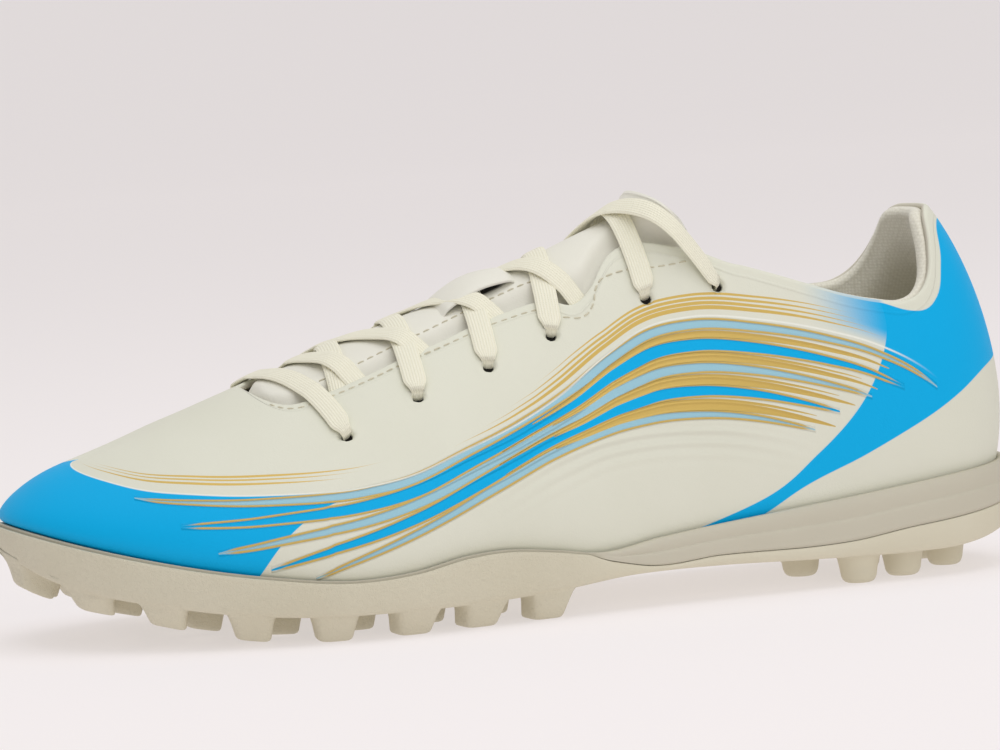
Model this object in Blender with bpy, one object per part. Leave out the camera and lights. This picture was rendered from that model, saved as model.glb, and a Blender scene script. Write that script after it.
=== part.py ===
"""A low turf shoe for the left foot, put together as a shoemaker would: outsole with moulded lugs, midsole,
insole, one hollow upper, tongue, padded collar lining and flat laces.

The toe points along -X, the outer side of the foot is -Y, and +Z is up. A station is a share of the outsole's
length, 0 at the back of the heel and 1 at the tip of the toe. All lengths are in metres.
"""

import functools
import math

import bmesh
import bpy
import numpy as np

# The sizes that a last maker would give
LENGTH = 0.292
BALL_WIDTH = 0.103
WAIST_WIDTH = 0.0705
HEEL_WIDTH = 0.070
INSTEP_HEIGHT = 0.100
HEEL_TAB_HEIGHT = 0.1025
COLLAR_DIP_HEIGHT = 0.077
TOE_SPRING = 0.018

# The sole unit
LUG_DEPTH = 0.0072
LUG_LENGTH = 0.0096
LUG_WIDTH = 0.0104
LUG_TAPER = 0.0021
LUG_FLARE = 0.0032
LUG_SQUARENESS = 0.42
TOE_LUG_LIFT = 0.0024
STUD_RADIUS = 0.0052
PLATE_THICKNESS = 0.0018
OUTSOLE_WALL_THICKNESS = 0.0013
MIDSOLE_WALL_THICKNESS = 0.0015
MIDSOLE_HEEL = 0.0085
MIDSOLE_BALL = 0.0034
MIDSOLE_TOP_INSET = 0.0006
MIDSOLE_FACE_RUN = 0.0025
MIDSOLE_FACE_SHARE = 0.65
HEEL_SETTLING = 0.35
INSOLE_THICKNESS = 0.0040
INSOLE_EDGE_SHARE = 0.7
INSOLE_EDGE_ROUND = 0.0020

# The upper and what is inside it
UPPER_WALL = 0.0020
UPPER_BULGE = 0.0026
BULGE_PEAK = 0.20
THROAT_ROUND = 0.030
THROAT_FULLNESS = 0.45
LINING_THICKNESS = 0.0020
COLLAR_PADDING = 0.0040
TONGUE_THICKNESS = 0.0030
TONGUE_LEVEL = 0.0017
TONGUE_RISE = 0.0070
TONGUE_HALF_WIDTHS = (0.0125, 0.0205)
TONGUE_SWEEP = 0.050
TONGUE_TUCK = 0.0032
TONGUE_CLEARANCE = 0.0008
TONGUE_EDGE_RUN = 0.007
TONGUE_EDGE_THINNING = 0.35
EYELET_RADIUS = 0.0018
EYELET_TO_LACE = 0.0042
LACE_WIDTH = 0.0060
LACE_THICKNESS = 0.0013
LACE_RAMP = (-0.0070, -0.0025)
LACE_CLEARANCE = 2.5
KEEPER_THICKNESS = 0.0009
KEEPER_HALF_WIDTH = 0.0040
KEEPER_SHIFT = 0.0022
KEEPER_RAMP = 0.10

# Pieces that meet keep this gap
GAP = 0.0003

# Ends of the forms, as stations
HEEL_ROUND = 0.13
HEEL_FULLNESS = 2.10
TOE_ROUND = 0.30
TOE_FULLNESS = 2.05
COLLAR_END = 0.31
LINING_END = 0.29
THROAT_FRONT = 0.765
TONGUE_FRONT = 0.80
TONGUE_TOP = 0.362
TONGUE_RISE_ENDS = (0.395, 0.345)
TONGUE_BEND_START = 0.60
TONGUE_WIDEST = 0.40
TONGUE_MIDDLE_FRONT = 0.72
TOP_LACES = (0.45, 0.41)

# Extra sections: shares of the throat's rounded front, and stations at the corner of its outer edge
THROAT_STEPS = (0.0, 0.10, 0.367, 0.733)
THROAT_CORNER = (0.435, 0.452, 0.475)

LATERAL, MEDIAL = -1, 1
UPPER_STEPS = 9

# Plan of the sole: station, full width before the ends are rounded, shift of the centre line inwards as a share
# of the ball width
PLAN = (
    (0.00, HEEL_WIDTH, 0.010),
    (0.13, HEEL_WIDTH, 0.000),
    (0.26, 0.55 * HEEL_WIDTH + 0.45 * WAIST_WIDTH, -0.020),
    (0.40, WAIST_WIDTH, -0.042),
    (0.54, 0.50 * WAIST_WIDTH + 0.50 * BALL_WIDTH, -0.036),
    (0.68, BALL_WIDTH, -0.012),
    (0.80, 0.99 * BALL_WIDTH, 0.020),
    (0.90, 0.97 * BALL_WIDTH, 0.050),
    (1.00, 0.95 * BALL_WIDTH, 0.085),
)

# Underside of the plate above the ground: station, share of the lug depth, share of the toe spring
UNDERSIDE = (
    (0.00, 1.80, 0.00),
    (0.03, 1.45, 0.00),
    (0.08, 1.15, 0.00),
    (0.14, 1.08, 0.00),
    (0.24, 1.18, 0.00),
    (0.34, 1.33, 0.00),
    (0.43, 1.33, 0.00),
    (0.50, 1.10, 0.00),
    (0.55, 1.00, 0.00),
    (0.73, 1.00, 0.00),
    (0.80, 1.00, 0.08),
    (0.88, 1.00, 0.28),
    (0.94, 1.00, 0.50),
    (0.98, 1.00, 0.76),
    (1.00, 1.00, 1.00),
)

# Foam of the midsole: station, and how far its thickness has gone from the heel's to the ball's
FOAM = (
    (0.00, 0.00),
    (0.15, 0.00),
    (0.30, 0.50),
    (0.42, 1.00),
    (1.00, 1.00),
)

# Top edge of the sole unit, as shares of the instep height: station, outer side, inner side
SOLE_TOP = (
    (0.00, 0.302, 0.302),
    (0.08, 0.287, 0.290),
    (0.20, 0.250, 0.258),
    (0.30, 0.222, 0.236),
    (0.40, 0.190, 0.208),
    (0.46, 0.168, 0.188),
    (0.51, 0.190, 0.176),
    (0.56, 0.206, 0.170),
    (0.60, 0.201, 0.167),
    (0.65, 0.176, 0.165),
    (0.70, 0.166, 0.168),
    (0.80, 0.196, 0.202),
    (0.90, 0.255, 0.260),
    (0.96, 0.302, 0.302),
    (1.00, 0.338, 0.338),
)

# Top edge of the outsole's wall, as a share of the height from its underside to the sole unit's top edge
OUTSOLE_WALL = (
    (0.00, 0.40),
    (0.05, 0.41),
    (0.10, 0.40),
    (0.15, 0.36),
    (0.20, 0.27),
    (0.34, 0.25),
    (0.42, 0.27),
    (0.45, 0.62),
    (0.48, 1.00),
    (1.00, 1.00),
)

# Face of the outsole's wall: share of its height, depth inside the outline
OUTSOLE_FACE = (
    (0.00, 0.0035),
    (0.10, 0.0016),
    (0.40, 0.0003),
    (0.70, 0.0000),
    (1.00, 0.0003),
)

# Ridge of the upper: station, height as a share of the instep height, shift as a share of the ball width,
# fullness of the section on the outer and the inner side
RIDGE = (
    (0.00, 1.190, 0.000, 2.52, 2.52),
    (0.12, 1.190, 0.000, 2.24, 2.24),
    (0.22, 1.175, -0.005, 1.97, 1.97),
    (0.32, 1.130, -0.002, 1.85, 1.90),
    (0.40, 1.046, 0.005, 1.80, 1.95),
    (0.48, 0.953, 0.015, 1.76, 2.05),
    (0.56, 0.863, 0.030, 1.76, 2.15),
    (0.64, 0.783, 0.046, 1.80, 2.15),
    (0.72, 0.703, 0.056, 1.82, 2.05),
    (0.80, 0.621, 0.060, 1.85, 1.95),
    (0.86, 0.556, 0.065, 1.82, 1.85),
    (0.92, 0.494, 0.068, 1.68, 1.60),
    (1.00, 0.420, 0.075, 1.45, 1.40),
)
HEEL_LEAN = 0.16
TOE_LEAN = 0.085

# Half widths of the throat from the ridge, as shares of the ball width: station, outer side, inner side
THROAT = (
    (0.29, 0.215, 0.210),
    (0.34, 0.170, 0.185),
    (0.41, 0.135, 0.168),
    (0.435, 0.185, 0.165),
    (0.452, 0.200, 0.163),
    (0.475, 0.180, 0.160),
    (0.52, 0.178, 0.150),
    (0.60, 0.208, 0.132),
    (0.68, 0.240, 0.105),
    (0.77, 0.235, 0.070),
)

# Collar's edge, as a share of the rise from the dip to the heel tab: station, outer side, inner side
COLLAR = (
    (0.000, 1.00, 1.00),
    (0.020, 0.98, 0.98),
    (0.040, 0.86, 0.88),
    (0.060, 0.58, 0.66),
    (0.080, 0.26, 0.42),
    (0.100, 0.07, 0.24),
    (0.120, 0.00, 0.14),
    (0.150, 0.04, 0.11),
    (0.180, 0.12, 0.14),
    (0.220, 0.27, 0.21),
    (0.260, 0.43, 0.29),
    (0.310, 0.62, 0.36),
)

# Padding of the collar: share of the way up to its edge, share of the full padding
PADDING = (
    (0.00, 0.00),
    (0.45, 0.00),
    (0.62, 0.48),
    (0.76, 0.97),
    (0.87, 0.95),
    (0.94, 0.72),
    (1.00, 0.50),
)

# Eyelets from the toe up: station and distance from the ridge as a share of the ball width, outer side then
# inner side
EYELETS = (
    (0.695, 0.370, 0.752, 0.155),
    (0.620, 0.325, 0.690, 0.190),
    (0.547, 0.283, 0.617, 0.205),
    (0.480, 0.240, 0.550, 0.215),
    (0.383, 0.216, 0.453, 0.222),
    (0.313, 0.225, 0.383, 0.225),
)

# Where each crossing's strands go under the throat's edge, from the toe up: station, outer then inner side
LACE_EXITS = (
    (0.664, 0.665),
    (0.596, 0.605),
    (0.517, 0.530),
    (0.438, 0.455),
)
FIRST_STRANDS = (0.688, 0.715)
TOP_LACE_BOWS = (0.006, 0.024)
TOP_LACE_END = 0.010
KEEPER_ENDS = (0.592, 0.512)

# Lugs of the forefoot: station, place across as a share of the half width, with the outer side negative
LUGS = (
    (0.972, -0.20), (0.926, -0.58), (0.868, -0.70), (0.796, -0.74), (0.724, -0.75), (0.652, -0.76),
    (0.586, -0.75), (0.518, -0.74),
    (0.958, 0.38), (0.905, 0.64), (0.840, 0.72), (0.770, 0.75), (0.700, 0.75), (0.630, 0.74),
    (0.560, 0.72), (0.500, 0.70),
    (0.893, -0.16), (0.893, 0.24), (0.827, -0.34), (0.830, 0.02), (0.818, 0.38), (0.757, -0.37),
    (0.757, 0.00), (0.747, 0.38), (0.687, -0.38), (0.687, 0.00), (0.680, 0.38), (0.618, -0.36),
    (0.618, 0.02), (0.612, 0.40), (0.550, -0.26), (0.546, 0.24),
)
EDGE_LUG = 0.55
LUG_TURN = (0.50, 0.85)
TOE_LUGS = (0.78, 0.93)

# Round studs of the heel, given in the same way
STUDS = (
    (0.188, -0.72), (0.134, -0.56), (0.072, -0.22), (0.188, 0.72), (0.134, 0.58), (0.072, 0.36),
    (0.216, 0.00), (0.150, 0.02),
)


def smooth(rows, station, column=1):
    """The value of a table's column at a station, on a smooth curve through its rows."""
    xs = np.array([row[0] for row in rows], float)
    ys = np.array([row[column] for row in rows], float)
    slopes = np.gradient(ys, xs)
    at = float(np.clip(station, xs[0], xs[-1]))
    i = int(np.clip(np.searchsorted(xs, at, side="right") - 1, 0, len(xs) - 2))
    width = xs[i + 1] - xs[i]
    t = (at - xs[i]) / width
    return float(
        (2 * t**3 - 3 * t**2 + 1) * ys[i]
        + (t**3 - 2 * t**2 + t) * width * slopes[i]
        + (3 * t**2 - 2 * t**3) * ys[i + 1]
        + (t**3 - t**2) * width * slopes[i + 1]
    )


def ease(low, high, value):
    t = min(1.0, max(0.0, (value - low) / (high - low)))
    return t * t * (3 - 2 * t)


def mix(a, b, share):
    return a + (b - a) * share


def column_of(side):
    return 1 if side == LATERAL else 2


def along(station):
    return LENGTH * (0.5 - station)


def half_width(station):
    heel = min(1.0, max(0.0, 1 - station / HEEL_ROUND))
    toe = min(1.0, max(0.0, (station - 1 + TOE_ROUND) / TOE_ROUND))
    heel_rounding = (1 - heel**HEEL_FULLNESS) ** (1 / HEEL_FULLNESS)
    toe_rounding = (1 - toe**TOE_FULLNESS) ** (1 / TOE_FULLNESS)
    return 0.5 * smooth(PLAN, station) * heel_rounding * toe_rounding


def plan_point(station, side):
    return np.array([along(station), smooth(PLAN, station, 2) * BALL_WIDTH + side * half_width(station)])


@functools.lru_cache(maxsize=None)
def outward(station, side):
    """The outline's outward direction, from two points close by on either side."""
    step = 1e-4
    behind = plan_point(abs(station - step), side if station >= step else -side)
    over = station + step
    ahead = plan_point(over if over <= 1 else 2 - over, side if over <= 1 else -side)
    x, y = ahead - behind
    size = math.hypot(x, y)
    return np.array([-y * side, x * side]) / -size


def inset(station, side, depth, height):
    x, y = plan_point(station, side) - outward(station, side) * depth
    return np.array([x, y, height])


def underside(station):
    return smooth(UNDERSIDE, station) * LUG_DEPTH + ground(station)


def ground(station):
    """Height of the lugs' bottoms: the floor, and the toe spring ahead of the ball."""
    return max(0.0, smooth(UNDERSIDE, station, 2)) * TOE_SPRING


def sole_top(station, side):
    return smooth(SOLE_TOP, station, column_of(side)) * INSTEP_HEIGHT


def outsole_top(station, side):
    low, high = underside(station), sole_top(station, side)
    return min(mix(low, high, smooth(OUTSOLE_WALL, station)), high - 2 * GAP)


def bed(station):
    """Top of the midsole, where the insole lies."""
    thickness = mix(MIDSOLE_HEEL, MIDSOLE_BALL, smooth(FOAM, station))
    settled = 1 - HEEL_SETTLING * (1 - ease(0, HEEL_ROUND / 2, station))
    return underside(station) * settled + PLATE_THICKNESS + GAP + thickness


FOOT_INSET = OUTSOLE_WALL_THICKNESS + GAP + MIDSOLE_WALL_THICKNESS + GAP


def ridge_station(station):
    heel = HEEL_LEAN * max(0.0, 1 - station / COLLAR_END) ** 2
    toe = TOE_LEAN * max(0.0, (station - 1 + TOE_ROUND) / TOE_ROUND) ** 2
    return station + heel - toe


@functools.lru_cache(maxsize=None)
def section(station, side):
    """Foot and ridge point of the upper's section at a station, and its fullness."""
    foot = inset(station, side, FOOT_INSET, sole_top(station, side))
    at = ridge_station(station)
    ridge = np.array([along(at), smooth(RIDGE, at, 2) * BALL_WIDTH, smooth(RIDGE, at) * INSTEP_HEIGHT])
    return foot, ridge, smooth(RIDGE, at, 3 if side == LATERAL else 4)


def skin(station, side, turn):
    """A point on the upper's outer face: turn is 0 at the sole's top edge and 1 on the ridge."""
    foot, ridge, fullness = section(station, side)
    angle = min(1.0, max(0.0, turn)) * math.pi / 2
    inwards = 1 - max(0.0, math.cos(angle)) ** (2 / fullness)
    upwards = math.sin(angle) ** (2 / fullness)
    point = foot + (ridge - foot) * np.array([inwards, inwards, upwards])
    swell = turn / BULGE_PEAK * math.exp(1 - turn / BULGE_PEAK) * (1 - turn * turn)
    point[:2] += outward(station, side) * UPPER_BULGE * swell
    return point


def turn_at_distance(station, side, distance):
    foot, ridge, fullness = section(station, side)
    share = min(1.0, distance / math.hypot(*(ridge - foot)[:2]))
    return 1 - math.asin(share ** (fullness / 2)) / (math.pi / 2)


def turn_at_height(station, side, height):
    foot, ridge, fullness = section(station, side)
    share = (height - foot[2]) / (ridge[2] - foot[2])
    return math.asin(share ** (fullness / 2)) / (math.pi / 2)


def throat_half(station, side):
    front = max(0.0, (THROAT_FRONT - station) / THROAT_ROUND)
    return smooth(THROAT, station, column_of(side)) * BALL_WIDTH * min(1.0, front) ** THROAT_FULLNESS


def collar_height(station, side):
    rise = HEEL_TAB_HEIGHT - COLLAR_DIP_HEIGHT
    return COLLAR_DIP_HEIGHT + smooth(COLLAR, station, column_of(side)) * rise


def edge_turn(station, side):
    """Where the upper ends: at the collar, at the throat, or on the ridge ahead of it."""
    if station < COLLAR_END:
        return turn_at_height(station, side, collar_height(station, side))
    if station < THROAT_FRONT:
        return turn_at_distance(station, side, throat_half(station, side))
    return 1.0


def inside(station, side, turn, depth):
    """A point below the upper's outer face, measured square to it."""
    step = 2e-3
    back, ahead = station - step, station + step
    before = skin(abs(back), side if back >= 0 else -side, turn)
    after = skin(min(ahead, 1.0), side, turn)
    lower, higher = skin(station, side, turn - step), skin(station, side, turn + step)
    normal = np.cross(after - before, higher - lower) * side
    normal /= np.linalg.norm(normal)
    return skin(station, side, turn) + normal * depth


@functools.lru_cache(maxsize=None)
def instep(station, across):
    """A point on the instep's surface at a signed distance across from the ridge."""
    side = LATERAL if across < 0 else MEDIAL
    return skin(station, side, turn_at_distance(station, side, abs(across)))


def over_instep(station, across, lift):
    step = 1e-3
    length = instep(station - step, across) - instep(station + step, across)
    width = instep(station, across + step) - instep(station, across - step)
    normal = np.cross(length, width)
    normal /= np.linalg.norm(normal)
    return instep(station, across) + normal * lift


def tongue_middle(station):
    at = min(station, TONGUE_MIDDLE_FRONT)
    return (throat_half(at, MEDIAL) - throat_half(at, LATERAL)) / 2


def tongue_top(station, across):
    """Height of the tongue's upper face over the instep's surface: tucked under the upper at its sides."""
    side = LATERAL if across < 0 else MEDIAL
    edge = throat_half(station, side) - TONGUE_TUCK
    tucked = -(UPPER_WALL + TONGUE_CLEARANCE)
    open_share = ease(0, TONGUE_EDGE_RUN, edge - abs(across))
    open_share *= ease(TONGUE_TUCK, 2 * TONGUE_EDGE_RUN, (THROAT_FRONT - station) * LENGTH)
    return tucked + (TONGUE_LEVEL + TONGUE_RISE * ease(*TONGUE_RISE_ENDS, station)) * open_share


def stations(extra=()):
    """Stations of the sections, close together at the rounded ends."""
    heel = [HEEL_ROUND * (1 - math.cos(math.radians(a))) for a in range(0, 90, 13)]
    middle = list(np.linspace(HEEL_ROUND, 1 - TOE_ROUND, 17))
    toe = [1 - TOE_ROUND + TOE_ROUND * math.sin(math.radians(a)) for a in range(9, 91, 9)]
    found = sorted(set(heel + middle + toe))
    for station in extra:
        near = min(found, key=lambda other: abs(other - station))
        if abs(near - station) < 0.007 and 0 < near < 1:
            found.remove(near)
        found.append(station)
    return sorted(found)


def material(name, colour, roughness):
    made = bpy.data.materials.new(name)
    made.use_nodes = True
    shader = made.node_tree.nodes["Principled BSDF"]
    shader.inputs["Base Color"].default_value = (*colour, 1)
    shader.inputs["Roughness"].default_value = roughness
    shader.inputs["Metallic"].default_value = 0.0
    return made


def add_object(name, vertices, faces, finish, closed=True):
    mesh = bpy.data.meshes.new(name)
    mesh.from_pydata([tuple(map(float, vertex)) for vertex in vertices], [], faces)
    work = bmesh.new()
    work.from_mesh(mesh)
    bmesh.ops.remove_doubles(work, verts=work.verts, dist=1e-6)
    bmesh.ops.recalc_face_normals(work, faces=work.faces)
    if closed and work.calc_volume(signed=True) < 0:
        bmesh.ops.reverse_faces(work, faces=work.faces)
    work.to_mesh(mesh)
    work.free()
    mesh.materials.append(finish)
    mesh.shade_smooth()
    mesh.set_sharp_from_angle(angle=math.radians(40))
    made = bpy.data.objects.new(name, mesh)
    bpy.context.scene.collection.objects.link(made)
    return made


def ring_of(sections):
    """The outline as a closed ring: along the outer side from heel to toe, and back along the inner side."""
    return [(s, LATERAL) for s in sections] + [(s, MEDIAL) for s in sections[-2:0:-1]]


def ring_faces(rows, count):
    faces = []
    for r in range(rows - 1):
        for i in range(count):
            j = (i + 1) % count
            faces.append((r * count + i, r * count + j, (r + 1) * count + j, (r + 1) * count + i))
    return faces


def ring_solid(name, rows, finish):
    """A solid of stacked rings. Strips from the outer to the inner side close the first and the last."""
    count = len(rows[0])
    faces = ring_faces(len(rows), count)
    for start in (0, (len(rows) - 1) * count):
        for i in range(count // 2):
            mirrored = [start + (count - i - 1) % count, start + (count - i) % count]
            faces.append(tuple(dict.fromkeys([start + i, start + i + 1, *mirrored])))
    return add_object(name, [point for row in rows for point in row], faces, finish)


def lofted(name, loops, finish):
    """A solid through closed loops of points. Strips across each end loop close the ends."""
    count = len(loops[0])
    faces = ring_faces(len(loops), count)
    for start in (0, (len(loops) - 1) * count):
        for i in range(count // 2 - 1):
            faces.append((start + i, start + i + 1, start + count - i - 2, start + count - i - 1))
    return add_object(name, [point for loop in loops for point in loop], faces, finish)


def boolean(target, other, operation):
    """Cuts or joins another object by a modifier, and keeps that object out of the build."""
    other.hide_render = True
    other.display_type = "WIRE"
    modifier = target.modifiers.new(other.name, "BOOLEAN")
    modifier.operation = operation
    modifier.solver = "EXACT"
    modifier.object = other


def lug_meshes():
    """Tapered lugs of the forefoot and round studs of the heel, each from the floor into the plate."""
    sides = 8
    vertices, faces = [], []
    for station, across, round_stud in [(*lug, False) for lug in LUGS] + [(*stud, True) for stud in STUDS]:
        side = LATERAL if across < 0 else MEDIAL
        x = along(station)
        y = smooth(PLAN, station, 2) * BALL_WIDTH + across * half_width(station)
        nx, ny = outward(station, side)
        heading = math.atan2(nx, abs(ny)) * -side * ease(*LUG_TURN, abs(across))
        first = len(vertices)
        flare = 0 if round_stud or abs(across) < EDGE_LUG else LUG_FLARE
        for level, grow in ((0, 0), (1, LUG_TAPER)):
            for k in range(sides):
                angle = 2 * math.pi * (k + 0.5) / sides
                if round_stud:
                    radius_x = radius_y = STUD_RADIUS + 0.5 * grow
                    squareness = 1.0
                else:
                    radius_x = LUG_LENGTH / 2 + grow
                    radius_y = LUG_WIDTH / 2 + 0.5 * grow
                    squareness = LUG_SQUARENESS
                cx, cy = math.cos(angle), math.sin(angle)
                px = radius_x * math.copysign(abs(cx) ** squareness, cx)
                py = radius_y * math.copysign(abs(cy) ** squareness, cy)
                wx = x + px * math.cos(heading) - py * math.sin(heading) + level * flare * nx
                wy = y + px * math.sin(heading) + py * math.cos(heading) + level * flare * ny
                at = 0.5 - wx / LENGTH
                bottom = ground(at) + TOE_LUG_LIFT * ease(*TOE_LUGS, at)
                height = underside(at) + PLATE_THICKNESS / 2 if level else bottom
                vertices.append((wx, wy, height))
        for k in range(sides):
            following = (k + 1) % sides
            faces.append((first + k, first + following, first + sides + following, first + sides + k))
        faces.append(tuple(first + k for k in range(sides)))
        faces.append(tuple(first + sides + k for k in range(sides)))
    return vertices, faces


def make_outsole(finish):
    """The wall's face from its foot to its top edge, then its inner face down to the plate."""
    ring = ring_of(stations())
    rows = []
    for share, depth in OUTSOLE_FACE:
        heights = [mix(underside(s), outsole_top(s, side), share) for s, side in ring]
        rows.append([inset(s, side, depth, height) for (s, side), height in zip(ring, heights)])
    wall = OUTSOLE_WALL_THICKNESS
    rows.append([inset(s, side, wall, outsole_top(s, side)) for s, side in ring])
    rows.append([inset(s, side, wall, underside(s) + PLATE_THICKNESS) for s, side in ring])
    outsole = ring_solid("outsole", rows, finish)
    lugs = add_object("lug_blocks", *lug_meshes(), finish)
    boolean(outsole, lugs, "UNION")


def make_midsole(finish):
    ring = ring_of(stations())
    rows = [[], [], [], [], [], [], []]
    covered = OUTSOLE_WALL_THICKNESS + GAP
    for station, side in ring:
        top = sole_top(station, side)
        lip = outsole_top(station, side) + GAP
        hidden = covered * (1 - ease(GAP, MIDSOLE_FACE_RUN, top - lip))
        profile = (
            (covered, underside(station) + PLATE_THICKNESS + GAP),
            (covered, lip),
            (hidden, lip),
            (hidden, mix(lip, top, MIDSOLE_FACE_SHARE)),
            (max(hidden, MIDSOLE_TOP_INSET), top),
            (covered + MIDSOLE_WALL_THICKNESS, top),
            (covered + MIDSOLE_WALL_THICKNESS, bed(station)),
        )
        for row, (depth, height) in zip(rows, profile):
            row.append(inset(station, side, depth, height))
    ring_solid("midsole", rows, finish)


def make_insole(finish):
    ring = ring_of(stations())
    depth = FOOT_INSET + UPPER_WALL + GAP
    low = [inset(s, side, depth, bed(s) + GAP) for s, side in ring]
    edge = GAP + INSOLE_THICKNESS * INSOLE_EDGE_SHARE
    high = [inset(s, side, depth, bed(s) + edge) for s, side in ring]
    depth += INSOLE_EDGE_ROUND
    top = [inset(s, side, depth, bed(s) + GAP + INSOLE_THICKNESS) for s, side in ring]
    ring_solid("insole", [low, high, top], finish)


def make_upper(finish):
    """The outer face as one grid of sections, thickened inwards, with the eyelets punched through."""
    front = [THROAT_FRONT - THROAT_ROUND * step for step in THROAT_STEPS]
    ring = ring_of(stations([*front, COLLAR_END, *THROAT_CORNER]))
    rows = [[inset(s, side, FOOT_INSET, bed(s) + GAP) for s, side in ring]]
    for step in range(UPPER_STEPS + 1):
        rows.append([skin(s, side, edge_turn(s, side) * step / UPPER_STEPS) for s, side in ring])
    vertices = [point for row in rows for point in row]
    upper = add_object("upper", vertices, ring_faces(len(rows), len(ring)), finish, closed=False)
    wall = upper.modifiers.new("wall", "SOLIDIFY")
    wall.thickness = UPPER_WALL
    wall.offset = -1
    wall.use_even_offset = True
    boolean(upper, make_punches(finish), "DIFFERENCE")


def make_punches(finish):
    sides = 10
    vertices, faces = [], []
    for outer_station, outer_share, inner_station, inner_share in EYELETS:
        for station, across in ((outer_station, -outer_share), (inner_station, inner_share)):
            middle = over_instep(station, across * BALL_WIDTH, 0)
            axis = over_instep(station, across * BALL_WIDTH, 1) - middle
            first_side = np.cross(axis, (1, 0, 0))
            first_side /= np.linalg.norm(first_side)
            second_side = np.cross(axis, first_side)
            first = len(vertices)
            for depth in (-2 * UPPER_WALL, UPPER_WALL):
                for k in range(sides):
                    angle = 2 * math.pi * k / sides
                    rim = first_side * math.cos(angle) + second_side * math.sin(angle)
                    vertices.append(middle + axis * depth + rim * EYELET_RADIUS)
            for k in range(sides):
                following = (k + 1) % sides
                faces.append((first + k, first + following, first + sides + following, first + sides + k))
            faces.append(tuple(first + k for k in range(sides)))
            faces.append(tuple(first + sides + k for k in range(sides)))
    return add_object("eyelet_punches", vertices, faces, finish)


def make_collar_lining(finish):
    """Follows the upper's inner face from the insole up, and thickens to the padded roll at its edge."""
    sections = [s for s in stations() if s <= LINING_END]
    ring = [(s, MEDIAL) for s in sections[:0:-1]] + [(s, LATERAL) for s in sections]
    under = UPPER_WALL + GAP
    loops = []
    for station, side in ring:
        low = bed(station) + INSOLE_THICKNESS + 3 * GAP
        last = edge_turn(station, side)
        outer = [inset(station, side, FOOT_INSET + under, low)]
        inner = [inset(station, side, FOOT_INSET + under + LINING_THICKNESS, low)]
        for step in (0, 1, 2, 3, 5, 6, 7, 8, 9):
            share = step / UPPER_STEPS
            padding = COLLAR_PADDING * smooth(PADDING, share)
            outer.append(inside(station, side, last * share, -under))
            inner.append(inside(station, side, last * share, -under - LINING_THICKNESS - padding))
        loops.append(outer + inner[::-1])
    lofted("collar_lining", loops, finish)


def make_tongue(finish):
    """Rows run across the throat, and bend back towards the heel at the tongue's sides near its top."""
    rows, columns = 17, 12
    loops = []
    for row in range(rows + 1):
        middle_station = mix(TONGUE_FRONT, TONGUE_TOP, row / rows)
        half = mix(*TONGUE_HALF_WIDTHS, ease(TONGUE_FRONT, TONGUE_WIDEST, middle_station))
        top, bottom = [], []
        for column in range(columns + 1):
            place = 2 * column / columns - 1
            swept = TONGUE_SWEEP * place * place * ease(TONGUE_BEND_START, TONGUE_TOP, middle_station)
            station = middle_station - swept
            across = tongue_middle(middle_station) + place * half
            lift = tongue_top(station, across)
            thickness = TONGUE_THICKNESS * (1 - TONGUE_EDGE_THINNING * abs(place) ** 6)
            top.append(over_instep(station, across, lift))
            bottom.append(over_instep(station, across, lift - thickness))
        loops.append(top + bottom[::-1])
    lofted("tongue", loops, finish)


def lace_lift(station, across, over_sides):
    """Height of the lace's lower face: on the tongue, and on the upper at a side where it lies over it."""
    side = LATERAL if across < 0 else MEDIAL
    on_tongue = tongue_top(station, across) + 2 * GAP * (1 + ease(*TOP_LACES, station))
    if side not in over_sides:
        return on_tongue
    past_edge = abs(across) - throat_half(station, side)
    return mix(on_tongue, max(on_tongue, LACE_CLEARANCE * GAP), ease(*LACE_RAMP, past_edge))


def lace_strip(name, start, end, over_sides, finish, bow=0.0):
    """A flat strip over the instep between two places, each a station and a signed distance off the ridge."""
    count = 14
    places = []
    for k in range(count + 1):
        bowed = bow * math.sin(math.pi * (k / count) ** 1.3)
        places.append((mix(start[0], end[0], k / count) + bowed, mix(start[1], end[1], k / count)))
    ahead = np.array([LENGTH * (start[0] - end[0]), end[1] - start[1]])
    ahead /= np.linalg.norm(ahead)
    half_x, half_y = ahead[1] * LACE_WIDTH / 2, -ahead[0] * LACE_WIDTH / 2
    loops = []
    for station, across in places:
        loop = []
        for sign, level in ((-1, 0), (1, 0), (1, 1), (-1, 1)):
            at, off = station - sign * half_x / LENGTH, across + sign * half_y
            lift = lace_lift(at, off, over_sides) + level * LACE_THICKNESS
            loop.append(over_instep(at, off, lift))
        loops.append(loop)
    return lofted(name, loops, finish)


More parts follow.
